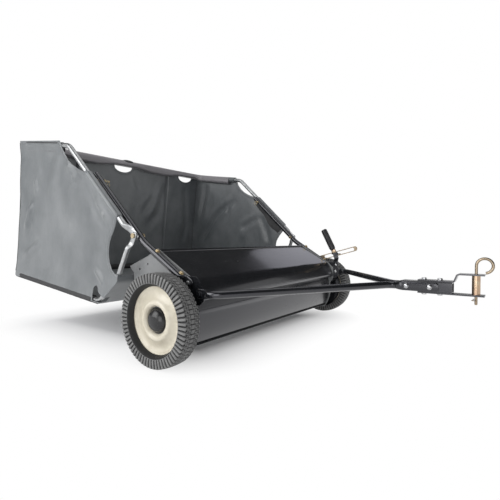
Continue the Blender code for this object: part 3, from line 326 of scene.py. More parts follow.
# %% [markdown]
# ## Bristle and thread
# The strands are drawn nylon, smooth along their length, with each tuft a little lighter
# or darker than the next. The bag's stitches are a pale spun thread.

# %% Bristle and thread
made = Finish("bristle", (0.020, 0.020, 0.021), 0.38)
tufts = made.cloud(140.0, 2.0, 0.5, (1.0, 0.2, 0.2))
made.worn(tufts, (0.012, 0.012, 0.013), (0.045, 0.044, 0.042), 0.32, 0.2)

made = Finish("thread", (0.16, 0.165, 0.17), 0.55, "vinyl")
fibre = made.cloud(900.0, 2.0)
made.feed("Base Color", made.mix(fibre, (0.10, 0.105, 0.11), (0.24, 0.245, 0.25)))
made.bump(fibre, 0.0002, 0.5)

SLOTS = {part["node"]: part["material_slot"] for part in frame["record"]["subparts"]}
BODIES = {node: body for body, nodes in frame["record"]["behaviour"]["bodies"].items() for node in nodes}
for node, obj in frame["nodes"].items():
    obj.data.materials.clear()
    obj.data.materials.append(FINISHES[SLOTS[node]].material)
print(len(FINISHES), "finishes on", len(frame["nodes"]), "nodes")

# %% [markdown]
# ## Hands and tools
# Every piece below is made the same way: a shape is started, picked over in edit mode,
# finished with modifiers, and hung on the body that it moves with.


# %% Modelling helpers
def only(obj):
    bpy.ops.object.select_all(action="DESELECT")
    obj.select_set(True)
    bpy.context.view_layer.objects.active = obj
    return obj


def named(name):
    obj = bpy.context.active_object
    obj.name = obj.data.name = name
    return obj


@contextmanager
def editing(obj):
    """Edit mode, with all of a piece selected, and object mode again at the end."""
    only(obj)
    bpy.ops.object.mode_set(mode="EDIT")
    bpy.ops.mesh.select_all(action="SELECT")
    yield
    bpy.ops.object.mode_set(mode="OBJECT")


def pick_faces(obj, test):
    """In edit mode, selects only the faces whose middle passes the test."""
    bpy.context.tool_settings.mesh_select_mode = (False, False, True)
    bpy.ops.mesh.select_all(action="DESELECT")
    bm = bmesh.from_edit_mesh(obj.data)
    for face in bm.faces:
        if test(face.calc_center_median()):
            face.select = True
    bm.select_flush_mode()
    bmesh.update_edit_mesh(obj.data)


def tidy(obj, reach=1e-5):
    """Welds what touches and turns every face outwards."""
    with editing(obj):
        bpy.ops.mesh.remove_doubles(threshold=reach)
        bpy.ops.mesh.normals_make_consistent(inside=False)
    return obj


def modified(obj, kind, **settings):
    modifier = obj.modifiers.new(kind.lower(), kind)
    for key, value in settings.items():
        setattr(modifier, key, value)
    only(obj)
    bpy.ops.object.modifier_apply(modifier=modifier.name)
    return obj


def smoothed(obj, angle=35):
    only(obj)
    bpy.ops.object.shade_smooth_by_angle(angle=math.radians(angle))
    return obj


def flat_shaded(obj, angle=35):
    """Rounds only the edges: a large flat face keeps its own normal."""
    smoothed(obj, angle)
    return modified(obj, "WEIGHTED_NORMAL", weight=90, keep_sharp=True)


def dressed(obj, finish, body, *stands_for):
    """Gives a finished piece its material and its body, and says what it stands for."""
    only(obj)
    bpy.ops.object.transform_apply(location=True, rotation=True, scale=True)
    obj.data.materials.clear()
    obj.data.materials.append(FINISHES[finish].material)
    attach(obj, body)
    if stands_for:
        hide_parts(*stands_for)
    return obj


def meshed(name, points, edges=(), faces=()):
    """A new piece from places, and from the edges or faces that join them."""
    mesh = bpy.data.meshes.new(name)
    mesh.from_pydata([tuple(p) for p in points], edges, faces)
    obj = bpy.data.objects.new(name, mesh)
    bpy.context.scene.collection.objects.link(obj)
    return only(obj)


def wire(name, points, closed=False):
    """A line of vertices, the start of most turned and drawn pieces."""
    edges = [(i, i + 1) for i in range(len(points) - 1)]
    return meshed(name, points, edges + [(len(points) - 1, 0)] if closed else edges)


def slab(name, points, step):
    """A loop of places, filled and then pushed out into a flat piece."""
    obj = wire(name, points, True)
    with editing(obj):
        bpy.ops.mesh.edge_face_add()
        bpy.ops.mesh.extrude_region_move(TRANSFORM_OT_translate={"value": step})
    return tidy(obj)


def cut(obj, tool):
    """Takes the tool's shape out of a piece, and throws the tool away."""
    modified(obj, "BOOLEAN", operation="DIFFERENCE", object=tool, solver="EXACT")
    bpy.data.objects.remove(tool, do_unlink=True)


def cylinder(name, sides, radius, depth, at, turn=(0, 0, 0)):
    size = {"vertices": sides, "radius": radius, "depth": depth}
    bpy.ops.mesh.primitive_cylinder_add(**size, location=at, rotation=turn)
    return named(name)


def between(a, b, share):
    return tuple(p + (q - p) * share for p, q in zip(a, b))


def steady(first, last, steps):
    """Numbers from the first to the last in equal steps."""
    return [first + (last - first) * i / steps for i in range(steps + 1)]


def arc(centre, radii, first, last, steps):
    """Places on part of a circle or an oval, between two angles in degrees."""
    turns = [math.radians(a) for a in steady(first, last, steps)]
    return [(centre[0] + radii[0] * math.cos(a), centre[1] + radii[1] * math.sin(a)) for a in turns]


def curved(points, per=5):
    """More points on a smooth line through the given ones, of any dimension."""
    made = []
    for i in range(len(points) - 1):
        four = (points[max(i - 1, 0)], points[i], points[i + 1], points[min(i + 2, len(points) - 1)])
        rates = [(c - a, 2 * a - 5 * b + 4 * c - d, 3 * b - a - 3 * c + d) for a, b, c, d in zip(*four)]
        for t in [k / per for k in range(per)]:
            spans = zip(four[1], rates)
            made.append(tuple(0.5 * (2 * b + u * t + v * t * t + w * t**3) for b, (u, v, w) in spans))
    return made + [tuple(points[-1])]


def turned(name, section, centre, side, steps):
    """Spins a section of (radius, distance from the machine's middle) about a wheel's axis."""
    y, z = centre
    obj = wire(name, [(side * x, y, z + r) for r, x in section], True)
    with editing(obj):
        bpy.ops.mesh.spin(steps=steps, angle=math.tau, center=(0, y, z), axis=(1, 0, 0))
    return tidy(obj)


print("helpers ready")

# %% [markdown]
# ## Tyres
# A semi-pneumatic tyre has short ribs round its shoulders and a tread of small zigzag
# bars. One fine section is spun in many steps. A third of each rib's width is then sunk
# to make the gap, and the edges of the tread's bars sway from side to side.

# %% Tyres
RIBS, STEPS_PER_RIB = 64, 6
TYRE_MIDDLE, SHOULDER = 0.6205, 0.0280
RIB_DEPTH, TREAD_DEPTH = 0.0044, 0.0038
RIB_FOOT, TREAD_FOOT, CROWN_CURVE = 0.1195, 0.1440, 2.6
TREAD_EDGES = (0.0262, 0.0242, 0.0180, 0.0160, 0.0095, 0.0072)
SWAY = [0.0017 * share for share in (0.0, 1.0, 0.55, 0.0, -1.0, -0.55)]


def tyre_section():
    """Half of it is written down, from the bead to the middle, and the rest is its mirror."""
    wall = [(0.1170, 0.0092), (0.1098, 0.0098), (0.1090, 0.0108), (0.1106, 0.0160)]
    wall += [(0.1138, 0.0235), (0.1166, 0.0290), (0.1186, 0.0312)]
    ribbed = [(0.1200, 0.0318), (0.1260, 0.0324), (0.1400, 0.0324), (0.1475, 0.0318), (0.1504, 0.0300)]
    half = wall[:2] + curved(wall[2:], 2) + curved(ribbed, 3)
    for i, edge in enumerate(TREAD_EDGES):
        crown = WHEEL_RADIUS - CROWN_CURVE * edge * edge
        steps = (crown, crown - TREAD_DEPTH)
        half += [(r, edge) for r in (steps if i % 2 == 0 else steps[::-1])]
    left = [(r, -x) for r, x in half]
    right = [(r, x) for r, x in reversed(half)]
    return [(r, TYRE_MIDDLE + x) for r, x in left + right]


def shape_tyre(obj, side):
    """Sinks the gaps between ribs, sways the tread's bars, and marks the tops for worn grey with painted
    sheen and the gaps for painted shade.
    """
    total = RIBS * STEPS_PER_RIB
    worn = obj.data.attributes.new("rubbed", "FLOAT", "POINT")
    for vert, mark in zip(obj.data.vertices, worn.data):
        dy, dz = vert.co.y - AXLE_Y, vert.co.z - WHEEL_RADIUS
        radius = math.hypot(dy, dz)
        step = round(math.atan2(dy, dz) / math.tau * total) % total
        offset = abs(vert.co.x) - TYRE_MIDDLE
        crown = WHEEL_RADIUS - CROWN_CURVE * offset * offset
        if RIB_FOOT < radius and abs(offset) > SHOULDER:
            mark.value = 1.0
            if step % STEPS_PER_RIB in (0, 1) and RIB_FOOT + 0.001 < radius:
                vert.co.x -= side * math.copysign(RIB_DEPTH, offset)
                mark.value = 0.0
        elif radius > TREAD_FOOT:
            mark.value = 0.9 if radius > crown - TREAD_DEPTH / 2 else 0.0
            phase = (step + 3 * round(abs(offset) / 0.0085)) % STEPS_PER_RIB
            if abs(offset) < 0.0250:
                vert.co.x += side * SWAY[phase]
            if phase == 5 and mark.value:
                share = 1 - TREAD_DEPTH * 0.75 / radius
                vert.co.y, vert.co.z = AXLE_Y + dy * share, WHEEL_RADIUS + dz * share
                mark.value = 0.1
    obj.data.update()


for name, side in SIDES:
    tyre = turned(f"tyre_{name}_ribbed", tyre_section(), AXLE, side, RIBS * STEPS_PER_RIB)
    shape_tyre(tyre, side)
    dressed(smoothed(tyre, 30), "rubber", "wheel_" + name, "tyre_" + name)
print("tyre faces", len(tyre.data.polygons))

# %% [markdown]
# ## Pressed wheels and hub caps
# The wheel is one steel pressing: a rolled edge at the hub, a raised ring, a valley and a
# dished rim. A smooth line through a few measured points gives the press's soft curves.

# %% Wheels
DISC_FACE = [
    (0.0434, 0.0030), (0.0438, 0.0062), (0.0458, 0.0106), (0.0510, 0.0156), (0.0572, 0.0174),
    (0.0640, 0.0155), (0.0720, 0.0088), (0.0820, 0.0034), (0.0920, 0.0012), (0.1000, 0.0032),
    (0.1060, 0.0072), (0.1110, 0.0088), (0.1155, 0.0078), (0.1165, 0.0050), (0.1165, -0.0290),
]
DISC_BACK = [
    (0.1145, -0.0290), (0.1145, 0.0030), (0.1110, 0.0064), (0.1050, 0.0044), (0.0960, -0.0002),
    (0.0870, -0.0004), (0.0740, 0.0050), (0.0640, 0.0132), (0.0572, 0.0152), (0.0500, 0.0118),
    (0.0450, 0.0032),
]
DOME = [(0.0004, 0.6480), (0.0130, 0.6470), (0.0240, 0.6436)]
DOME += [(0.0325, 0.6376), (0.0380, 0.6300), (0.0398, 0.6246)]
CAP_EDGE = [(0.0408, 0.6243), (0.0427, 0.6243), (0.0428, 0.6238)]
HOLLOW = [(0.0385, 0.6238), (0.0366, 0.6300), (0.0310, 0.6366)]
HOLLOW += [(0.0225, 0.6424), (0.0120, 0.6456), (0.0004, 0.6466)]
disc_section = [(r, TYRE_MIDDLE + x) for r, x in curved(DISC_FACE, 4) + curved(DISC_BACK, 3)]
cap_section = curved(DOME, 5) + CAP_EDGE + curved(HOLLOW, 3)
for name, side in SIDES:
    disc = turned(f"wheel_disc_{name}_pressed", disc_section, AXLE, side, 96)
    dressed(smoothed(disc, 50), "cream_paint", "wheel_" + name, "wheel_disc_" + name)
    cap = turned(f"hub_cap_{name}_domed", cap_section, AXLE, side, 72)
    dressed(smoothed(cap, 50), "cap_plastic", "wheel_" + name, "hub_cap_" + name)
print("wheel faces", len(disc.data.polygons))

# %% [markdown]
# ## Tubes
# The frame is bent from round tube whose ends are pressed flat where a bolt goes through.
# A curve with a round bevel gives the tube, an arc at each corner gives the bend, and the
# rings near an end are then squeezed between the plates that hold them.


# %% Tube helpers
def rounded_route(points, bend, steps=9):
    points = [Vector(p) for p in points]
    route = [points[0]]
    for before, corner, after in zip(points, points[1:], points[2:]):
        incoming, outgoing = (corner - before).normalized(), (after - corner).normalized()
        angle = incoming.angle(outgoing)
        normal = (outgoing - incoming * incoming.dot(outgoing)).normalized()
        centre = corner - incoming * bend * math.tan(angle / 2) + normal * bend
        for i in range(steps + 1):
            turn = angle * i / steps
            route.append(centre - normal * bend * math.cos(turn) + incoming * bend * math.sin(turn))
    route.append(points[-1])
    return route


def end_marks(start, towards, reach, count=16):
    start = Vector(start)
    along = (Vector(towards) - start).normalized()
    places = [0.0, 0.002, 0.005, 0.009] + steady(0.009, reach, count)[1:]
    return [start + along * d for d in places]


def tube(name, route, radius, sides=28):
    bpy.ops.curve.primitive_nurbs_path_add()
    obj = named(name)
    curve = obj.data
    curve.splines.clear()
    curve.bevel_depth, curve.bevel_resolution, curve.use_fill_caps = radius, sides // 2 - 2, True
    spline = curve.splines.new("POLY")
    spline.points.add(len(route) - 1)
    for point, place in zip(spline.points, route):
        point.co = (*place, 1.0)
    bpy.ops.object.convert(target="MESH")
    return tidy(bpy.context.active_object, 1e-6)


def drawn(name, route, radius, finish, body, *stands_for, sides=28, angle=60):
    """A finished piece of tube or wire."""
    return dressed(smoothed(tube(name, route, radius, sides), angle), finish, body, *stands_for)


def press_end(obj, end, towards, flat, taper, plane, radius, thickness=0.006):
    end = Vector(end)
    along = (Vector(towards) - end).normalized()
    across = Vector((1, 0, 0)).cross(along).normalized()
    middle = end.x
    for vert in obj.data.vertices:
        offset = vert.co - end
        distance, sideways = offset.dot(along), offset.dot(across)
        if distance > flat + taper or distance < -0.01 or abs(sideways) > 2 * radius:
            continue
        share = min(1.0, max(0.0, (flat + taper - distance) / taper))
        share = share * share * (3 - 2 * share)
        tip = 1.0 if distance > 0.009 else 0.60 + 0.40 * math.sqrt(max(0.0, distance) / 0.009)
        squeezed = plane + (vert.co.x - middle) / radius * thickness / 2
        x = vert.co.x + (squeezed - vert.co.x) * share
        vert.co = end + along * distance + across * sideways * (1 + 0.25 * share) * tip
        vert.co.x = x
    obj.data.update()


def axle_frame(points):
    """Measured points have Y from the axle: this moves them to the machine's frame."""
    return [Vector((x, y + AXLE_Y, z)) for x, y, z in points]


# %% [markdown]
# ## Bolts
# A bolt head is a hexagon whose corners are rounded by the die, and it sits on a washer.


# %% Bolt helper
WASHER = 0.0012


def bolt_head(name, at, direction, radius, height, washer=True):
    at, direction = Vector(at), Vector(direction).normalized()
    turn = direction.to_track_quat("Z", "Y").to_euler()
    base = WASHER if washer else 0.0
    if washer:
        disc = cylinder(name + "_washer", 36, radius * 1.35, WASHER, at + direction * WASHER / 2, turn)
        modified(disc, "BEVEL", width=0.0003, segments=2)
    head = cylinder(name, 6, radius, height - base, at + direction * (base + height) / 2, turn)
    with editing(head):
        pick_faces(head, lambda p: p.z > (height - base) * 0.49)
        bpy.ops.mesh.inset(thickness=radius * 0.16)
        bpy.ops.transform.translate(value=direction * radius * 0.05)
    modified(head, "BEVEL", width=radius * 0.06, segments=2, limit_method="ANGLE")
    if washer:
        disc.select_set(True)
        bpy.ops.object.join()
    bpy.ops.object.transform_apply(location=True, rotation=True, scale=True)
    return smoothed(head, 30)


# %% [markdown]
# ## Finer copies of flat plates
# A CAD node is loose triangles. A copy is welded, its flat faces are joined again, and a
# small bevel is run round its edges, as a deburred plate has.


# %% Finer copies
END_PLATE_TOP = {
    (0.058, 0.3985): (0.062, 0.3570),
    (0.088, 0.4035): (0.097, 0.3790),
    (-0.062, 0.293): (-0.062, 0.2860),
}


def move_outline(obj, moves):
    """Moves the corners of a flat plate: from one place in Y and Z to another."""
    for vert in obj.data.vertices:
        for (y, z), (new_y, new_z) in moves.items():
            if math.dist((vert.co.y, vert.co.z), (y + AXLE_Y, z)) < 0.0008:
                vert.co.y, vert.co.z = new_y + AXLE_Y, new_z
                break


def finer(node, finish=None):
    only(frame["nodes"][node])
    bpy.ops.object.duplicate()
    obj = named(node + "_fine")
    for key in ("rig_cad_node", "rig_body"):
        if key in obj:
            del obj[key]
    obj.parent = None
    with editing(obj):
        bpy.ops.mesh.remove_doubles(threshold=1e-5)
        bpy.ops.mesh.dissolve_limited(angle_limit=math.radians(1.5))
    if node.startswith("end_plate"):
        move_outline(obj, END_PLATE_TOP)
    modified(obj, "BEVEL", width=0.0005, segments=2, limit_method="ANGLE", angle_limit=math.radians(35))
    dressed(flat_shaded(obj), finish or SLOTS[node], BODIES[node], node)


PLATES = """end_plate_* hitch_bracket_* height_lever tongue_channel clevis_upper_strap
    clevis_lower_strap gear_cover_* wing_knob latch_pin_* pivot_bolt_* axle_bolt_* brush_bearing_*
    ring_gear_* pinion_* brush_shaft"""
# The end plates take the grey whose patches are painted sheen.
for node in PLATES.split():
    for name in ("right", "left") if "*" in node else ("",):
        finer(node.replace("*", name), "painted_sheen_grey_paint" if node.startswith("end_plate") else None)
for i in range(4):
    finer(f"brush_retainer_{i + 1}")
print("finer copies made")
bpy.ops.object.select_all(action="DESELECT")

# %% [markdown]
# ## Hood
# The hood is two sheets of steel. The upper one slopes forward and is rolled over a nose.
# The front one is curved round the brush and ends in a hem that stiffens it. Each is
# drawn as a line, extruded across the machine, and then given the sheet's thickness.

# %% Hood
BRUSH_Y, BRUSH_Z, BRUSH_RADIUS = AXLE_Y + 0.08301, 0.13965, 0.135
HOOD_HALF, SHEET, WRAP_RADIUS, LIP_Z = 0.533, 0.0015, 0.156, 0.055
RAIL = (0.0985, 0.3680)


def on_arc(radius, degrees):
    angle = math.radians(degrees)
    return (BRUSH_Y - AXLE_Y - radius * math.cos(angle), BRUSH_Z + radius * math.sin(angle))


def bent_sheet(name, profile):
    """Draws a line in Y and Z, extrudes it across the machine and thickens it."""
    obj = wire(name, axle_frame([(-HOOD_HALF, y, z) for y, z in profile]))
    with editing(obj):
        bpy.ops.mesh.extrude_region_move(TRANSFORM_OT_translate={"value": (2 * HOOD_HALF, 0, 0)})
    tidy(obj)
    return modified(obj, "SOLIDIFY", thickness=SHEET, offset=1.0, use_even_offset=True)


slope = [(0.0905, 0.3560), (0.0903, 0.3600), (0.0882, 0.3640), (0.0850, 0.3625), (-0.0540, 0.2850)]
nose = curved([(-0.0620, 0.2798), (-0.0730, 0.2655), (-0.0835, 0.2450), (-0.0915, 0.2240)], 4)
nose += curved([(-0.0932, 0.2165), (-0.0915, 0.2110), (-0.0850, 0.2078)], 3)
skirt = [on_arc(0.1588, a) for a in (22.5, 20.0, 17.0, 14.5)]
upper = bent_sheet("hood_upper_panel_bent", slope + nose + skirt)
dressed(smoothed(upper, 40), "black_paint", "housing", "hood_upper_panel")
lip_degrees = math.degrees(math.asin((LIP_Z - BRUSH_Z) / WRAP_RADIUS))
wrap_round = [on_arc(WRAP_RADIUS, a) for a in steady(24, lip_degrees, 36)]
lip_y, lip_z = wrap_round[-1]
hem = [(lip_y - y, lip_z - z) for y, z in ((0.0018, 0.0026), (0.0045, 0.0036), (0.0085, 0.0025))]
front = bent_sheet("hood_front_panel_rolled", wrap_round + hem)
dressed(smoothed(front, 40), "black_paint", "housing", "hood_front_panel")
rail_ends = axle_frame([(-HOOD_HALF, *RAIL), (HOOD_HALF, *RAIL)])
drawn("hood_top_rail_round", rail_ends, 0.0080, "black_paint", "housing", "hood_top_rail", sides=24, angle=40)

# %% [markdown]
# ## Frame tubes
# Each tube keeps the route of its solid. The black arms and the drawbar's legs are one
# inch tube, and the hopper's are thinner galvanised tube.

# %% Frame tubes
SIDE_FOOT, SIDE_BEND, SIDE_TOP = (-0.072, 0.2615), (0.148, 0.397), (0.437, 0.667)
PIVOT, UPPER_BEND, UPPER_REAR = (0.176, 0.423), (0.572, 0.792), (0.950, 0.850)
KNEE, LOWER_FRONT, LOWER_REAR = (0.262, 0.262), (0.372, 0.176), (1.018, 0.247)
HOPPER_X, JOIN_X, LAYER_X = 0.585, 0.45, 0.5436
ARM_X, STAY_X = 0.5525, 0.31


def pressed_tube(node, points, radius, bend, flat, taper, plane, finish, body, start_back=0.0):
    """A bent tube along measured points, with its first end pressed flat."""
    points = axle_frame(points)
    start = points[0] - (points[1] - points[0]).normalized() * start_back
    marks = end_marks(start, points[1], flat + taper)
    route = marks[:-1] + rounded_route([marks[-1], *points[1:]], bend)
    obj = tube(node + "_bent", route, radius)
    press_end(obj, start, points[1], flat, taper, plane, radius)
    dressed(smoothed(obj, 50), finish, body, node)


for name, side in SIDES:
    x, join = side * ARM_X, side * (JOIN_X + 0.0002)
    route = [(x, *SIDE_FOOT), (x, *SIDE_BEND), (x, *SIDE_TOP)]
    made = ("black_paint", "housing")
    pressed_tube("side_tube_" + name, route, 0.0127, 0.16, 0.030, 0.022, side * LAYER_X, *made)
    x, made = side * HOPPER_X, ("galvanised", "hopper")
    route = [(x, *PIVOT), (x, *UPPER_BEND), (x, *UPPER_REAR), (join, *UPPER_REAR)]
    pressed_tube("hopper_upper_tube_" + name, route, 0.011, 0.055, 0.044, 0.030, side * 0.5697, *made, 0.014)
    route = [(x, *PIVOT), (x, *KNEE), (x, *LOWER_FRONT), (x, *LOWER_REAR), (join, *LOWER_REAR)]
    pressed_tube("hopper_lower_tube_" + name, route, 0.0095, 0.045, 0.040, 0.026, side * 0.5760, *made, 0.013)

front_at = between(PIVOT, KNEE, 0.95)
for node, at, half, radius, finish, sides in (
    ("hopper_rear_top_tube", UPPER_REAR, JOIN_X - 0.0002, 0.011, "galvanised", 28),
    ("hopper_rear_bottom_tube", LOWER_REAR, JOIN_X - 0.0002, 0.0095, "galvanised", 28),
    ("hopper_front_rod", front_at, 0.5752, 0.005, "yellow_zinc", 20),
):
    ends = axle_frame([(-half, *at), (half, *at)])
    drawn(node + "_round", ends, radius, finish, "hopper", node, sides=sides, angle=50)
for name, side in SIDES:
    top, bottom = axle_frame([(side * STAY_X, *UPPER_REAR), (side * STAY_X, *LOWER_REAR)])
    down = (bottom - top).normalized()
    ends, node = [top + down * 0.0118, bottom - down * 0.0103], "hopper_stay_rod_" + name
    drawn(node + "_round", ends, 0.004, "bright_zinc", "hopper", node, sides=16, angle=50)
print("tubes made")

# %% [markdown]
# ## Flat bars
# A strap or an ear is a flat outline with some thickness. It is drawn as a loop of edges,
# filled, extruded, bored where a bolt or a slot is, and its edges are eased.


# %% Flat bar helper
def flat_bar(name, outline, x, thickness, holes=()):
    obj = slab(name, axle_frame([(x, y, z) for y, z in outline]), (thickness, 0, 0))
    for hole in holes:
        cut(obj, slab("punch", axle_frame([(x - 0.01, y, z) for y, z in hole]), (thickness + 0.02, 0, 0)))
    modified(obj, "BEVEL", width=0.0005, segments=2, limit_method="ANGLE", angle_limit=math.radians(40))
    return flat_shaded(obj)


def stadium(start, end, half):
    """A long outline with round ends, between two centres."""
    heading = math.degrees(math.atan2(end[1] - start[1], end[0] - start[0]))
    front = arc(end, (half, half), heading - 90, heading + 90, 14)
    return front + arc(start, (half, half), heading + 90, heading + 270, 14)


# %% [markdown]
# ## Drawbar legs
# Each leg is pressed flat at both ends, so that it can be bolted to the hanger at the
# rear and into the folded channel in front.

# %% Drawbar legs
HINGE, EAR = (-0.1060, 0.2360), (-0.1055, 0.2700)
for name, side in SIDES:
    inner, outer = side * 0.0248, side * LAYER_X
    points = [(outer, -0.092, 0.236), (outer, -0.172, 0.237)]
    points += [(inner, -0.556, 0.24675), (inner, -0.715, 0.24775)]
    start, elbow, throat, end = axle_frame(points)
    marks = end_marks(start, elbow, 0.056)
    halfway = (elbow + throat) / 2
    last = end_marks(end, throat, 0.142, 24)[::-1]
    route = marks[:-1] + rounded_route([marks[-1], elbow, halfway], 0.045)
    route += rounded_route([halfway, throat, last[0]], 0.034)[1:] + last[1:]
    leg = tube(f"hitch_tube_{name}_bent", route, 0.0127)
    press_end(leg, start, elbow, 0.036, 0.020, outer, 0.0127)
    press_end(leg, end, throat, 0.1205, 0.0215, inner, 0.0127)
    dressed(smoothed(leg, 50), "black_paint", "drawbar", "hitch_tube_" + name)
ear = flat_bar("lever_ear", stadium(HINGE, EAR, 0.0137), LAYER_X - 0.0026, 0.0052)
dressed(ear, "black_paint", "drawbar")
print("legs made")

# %% [markdown]
# ## Height adjuster
# A slotted strap of plated steel holds the lever where the wing knob is tightened. The
# lever's grip is a ribbed rubber sleeve. It is a tube whose radius rises and falls along
# its length, like a hand grip on a handlebar.

# %% Height adjuster
STRAP_PIVOT, STRAP_TIP = (-0.003, 0.304), (-0.204, 0.360)


def on_strap(distance):
    return between(STRAP_PIVOT, STRAP_TIP, distance / math.dist(STRAP_PIVOT, STRAP_TIP))


slot_hole = stadium(on_strap(0.036), on_strap(0.196), 0.0085)
pivot_hole = stadium(STRAP_PIVOT, on_strap(0.0002), 0.0045)
outline = stadium(STRAP_PIVOT, STRAP_TIP, 0.0130)
strap = flat_bar("adjuster_strap_slotted", outline, 0.5673, 0.0030, [slot_hole, pivot_hole])
dressed(strap, "rod_zinc", BODIES["adjuster_strap"], "adjuster_strap")
GRIP_TOP, GRIP_WAY = Vector((0.5642, -0.024, 0.463)), Vector((0.0, -0.069, -0.134)).normalized()
GRIP_LENGTH, RIB_STEP = 0.122, 0.0082
route = axle_frame([tuple(GRIP_TOP + GRIP_WAY * d) for d in steady(0, GRIP_LENGTH, 150)])
grip = tube("lever_grip_ribbed", route, 0.0157, 32)
for vert in grip.data.vertices:
    along = (vert.co - route[0]).dot(GRIP_WAY)
    middle = route[0] + GRIP_WAY * along
    rib = max(0.0, math.sin(along / RIB_STEP * math.tau)) ** 0.5 if 0.012 < along < 0.112 else 0.0
    end = min(along, GRIP_LENGTH - along)
    round_off = math.sqrt(max(0.0, 1 - (1 - min(1.0, end / 0.006)) ** 2)) * 0.35 + 0.65
    vert.co = middle + (vert.co - middle) * (1 + 0.09 * rib) * round_off
dressed(smoothed(grip, 60), "black_plastic", BODIES["lever_grip"], "lever_grip")
print("strap", len(strap.data.polygons), "grip", len(grip.data.polygons))

# %% [markdown]
# ## Clevis
# The hitch pin is bent from one rod, with a loop for the hand, and drops through two straps
# and a spacer sleeve. A hair cotter of spring wire stops it from lifting out.

# %% Clevis
PIN_Y, LOOP_Y = AXLE_Y - 0.8245, AXLE_Y - 0.8480
SLEEVE_AT = (0, PIN_Y, 0.2607)
sleeve_tube = cylinder("hitch_spacer_sleeve_turned", 48, 0.0125, 0.0632, SLEEVE_AT)
cut(sleeve_tube, cylinder("drill", 32, 0.0063, 0.1, SLEEVE_AT))
modified(sleeve_tube, "BEVEL", width=0.0008, segments=3, limit_method="ANGLE")
dressed(flat_shaded(sleeve_tube, 30), "sleeve_zinc", BODIES["hitch_spacer_sleeve"], "hitch_spacer_sleeve")

route = [Vector((0, PIN_Y, z)) for z in (0.196, 0.1975, 0.200, 0.230, 0.260, 0.300)]
route += [Vector((0, y, z)) for y, z in arc((LOOP_Y, 0.3245), (0.0235, 0.0235), 0, 262, 44)]
pin = tube("hitch_pin_bent", route, 0.0046, 24)
for vert in pin.data.vertices:
    if vert.co.z < 0.1990:
        share = 0.72 if vert.co.z < 0.1968 else 0.93
        vert.co.x, vert.co.y = vert.co.x * share, PIN_Y + (vert.co.y - PIN_Y) * share
dressed(smoothed(pin, 50), "rod_zinc", BODIES["hitch_pin"], "hitch_pin")

flat_route = [(0.0160, 0.0), (0.0060, 0.0), (-0.0060, 0.0), (-0.0150, 0.0)]
flat_route += arc((-0.0215, 0.0050), (0.0050, 0.0050), -90, -270, 9)
flat_route += [(-0.0120, 0.0082), (-0.0060, 0.0074), (0.0, 0.0076), (0.0070, 0.0074), (0.0140, 0.0100)]
route = [Vector((x, PIN_Y + y, 0.2125)) for x, y in curved(flat_route, 4)]
cotter = tube("hitch_pin_cotter_wire", route, 0.00125, 12)
dressed(smoothed(cotter, 60), "rod_zinc", BODIES["hitch_pin_cotter"], "hitch_pin_cotter")
print("clevis", len(pin.data.polygons), "faces in the pin")

# %% [markdown]
# ## Fasteners
# The side tubes and the channel are bolted through. A domed head is turned, and hexagon
# heads come from the bolt helper, each copy with its own mesh.

# %% Fasteners
BUTTON = [(0.0004, 0.0350), (0.0040, 0.0346), (0.0076, 0.0332)]
BUTTON += [(0.0096, 0.0308), (0.0100, 0.0281), (0.0004, 0.0281)]
SHANK = [(0.0004, 0.5120), (0.0030, 0.5120), (0.0040, 0.5130), (0.0040, 0.5384), (0.0004, 0.5384)]
LATCH = (0.408 + AXLE_Y, 0.640)
LOCK = (-0.0862, 0.3420)
tube_way = (Vector((0, *SIDE_BEND)) - Vector((0, *SIDE_FOOT))).normalized()
tube_top = Vector((0, -tube_way.z, tube_way.y))
for name, side in SIDES:
    for label, share in (("upper", 0.72), ("lower", 0.20)):
        y, z = between(SIDE_FOOT, SIDE_BEND, share)
        place = Vector((side * ARM_X, y + AXLE_Y, z)) + tube_top * 0.0122
        head = bolt_head(f"side_tube_bolt_{label}_{name}", place, tube_top, 0.0070, 0.0062)
        dressed(head, "yellow_zinc", "housing")
    y, z = between(SIDE_FOOT, SIDE_BEND, 0.055)
    head = bolt_head(f"foot_bolt_{name}", (side * 0.5466, y + AXLE_Y, z), (side, 0, 0), 0.0075, 0.0045, False)
    dressed(head, "bright_zinc", "housing")
for i, y in enumerate((-0.612, -0.688)):
    for name, side in SIDES:
        head = turned(f"channel_bolt_{i + 1}_{name}", BUTTON, (y + AXLE_Y, 0.24775), side, 32)
        dressed(smoothed(head, 40), "bright_zinc", "drawbar")
for i, y in enumerate((-0.666, -0.717)):
    for label, z, way in (("upper", 0.2698, 1), ("lower", 0.2269, -1)):
        head = bolt_head(f"strap_bolt_{label}_{i + 1}", (0, y + AXLE_Y, z), (0, 0, way), 0.0084, 0.0070)
        dressed(head, "bright_zinc", "drawbar")
for name, side in SIDES:
    shank = turned("latch_shank_" + name, SHANK, LATCH, side, 24)
    dressed(smoothed(shank, 40), "yellow_zinc", BODIES["latch_pin_" + name])
    oval = arc((LATCH[1] - 0.0115, LATCH[0]), (0.0105, 0.0075), 0, 342, 38)
    ring = [Vector((side * 0.5165, y, z)) for z, y in oval]
    drawn("latch_cotter_" + name, ring, 0.0010, "yellow_zinc", BODIES["latch_pin_" + name], sides=10)
for label, (y, z), x, radius, finish in (
    ("lock", LOCK, 0.5600, 0.0085, "sleeve_zinc"),
    ("ear", EAR, 0.5468, 0.0072, "bright_zinc"),
    ("hinge", HINGE, 0.5406, 0.0080, "bright_zinc"),
):
    head = bolt_head("lever_bolt_" + label, (x, y + AXLE_Y, z), (-1, 0, 0), radius, 0.0058)
    dressed(head, finish, "drawbar")
print("fasteners made")

# %% [markdown]
# ## Brush
# Four rows of nylon strands are clamped between the retainers. A strand is a thin four-
# sided taper that bows a little, and leans to one side or the other. It is simple
# because there are hundreds.

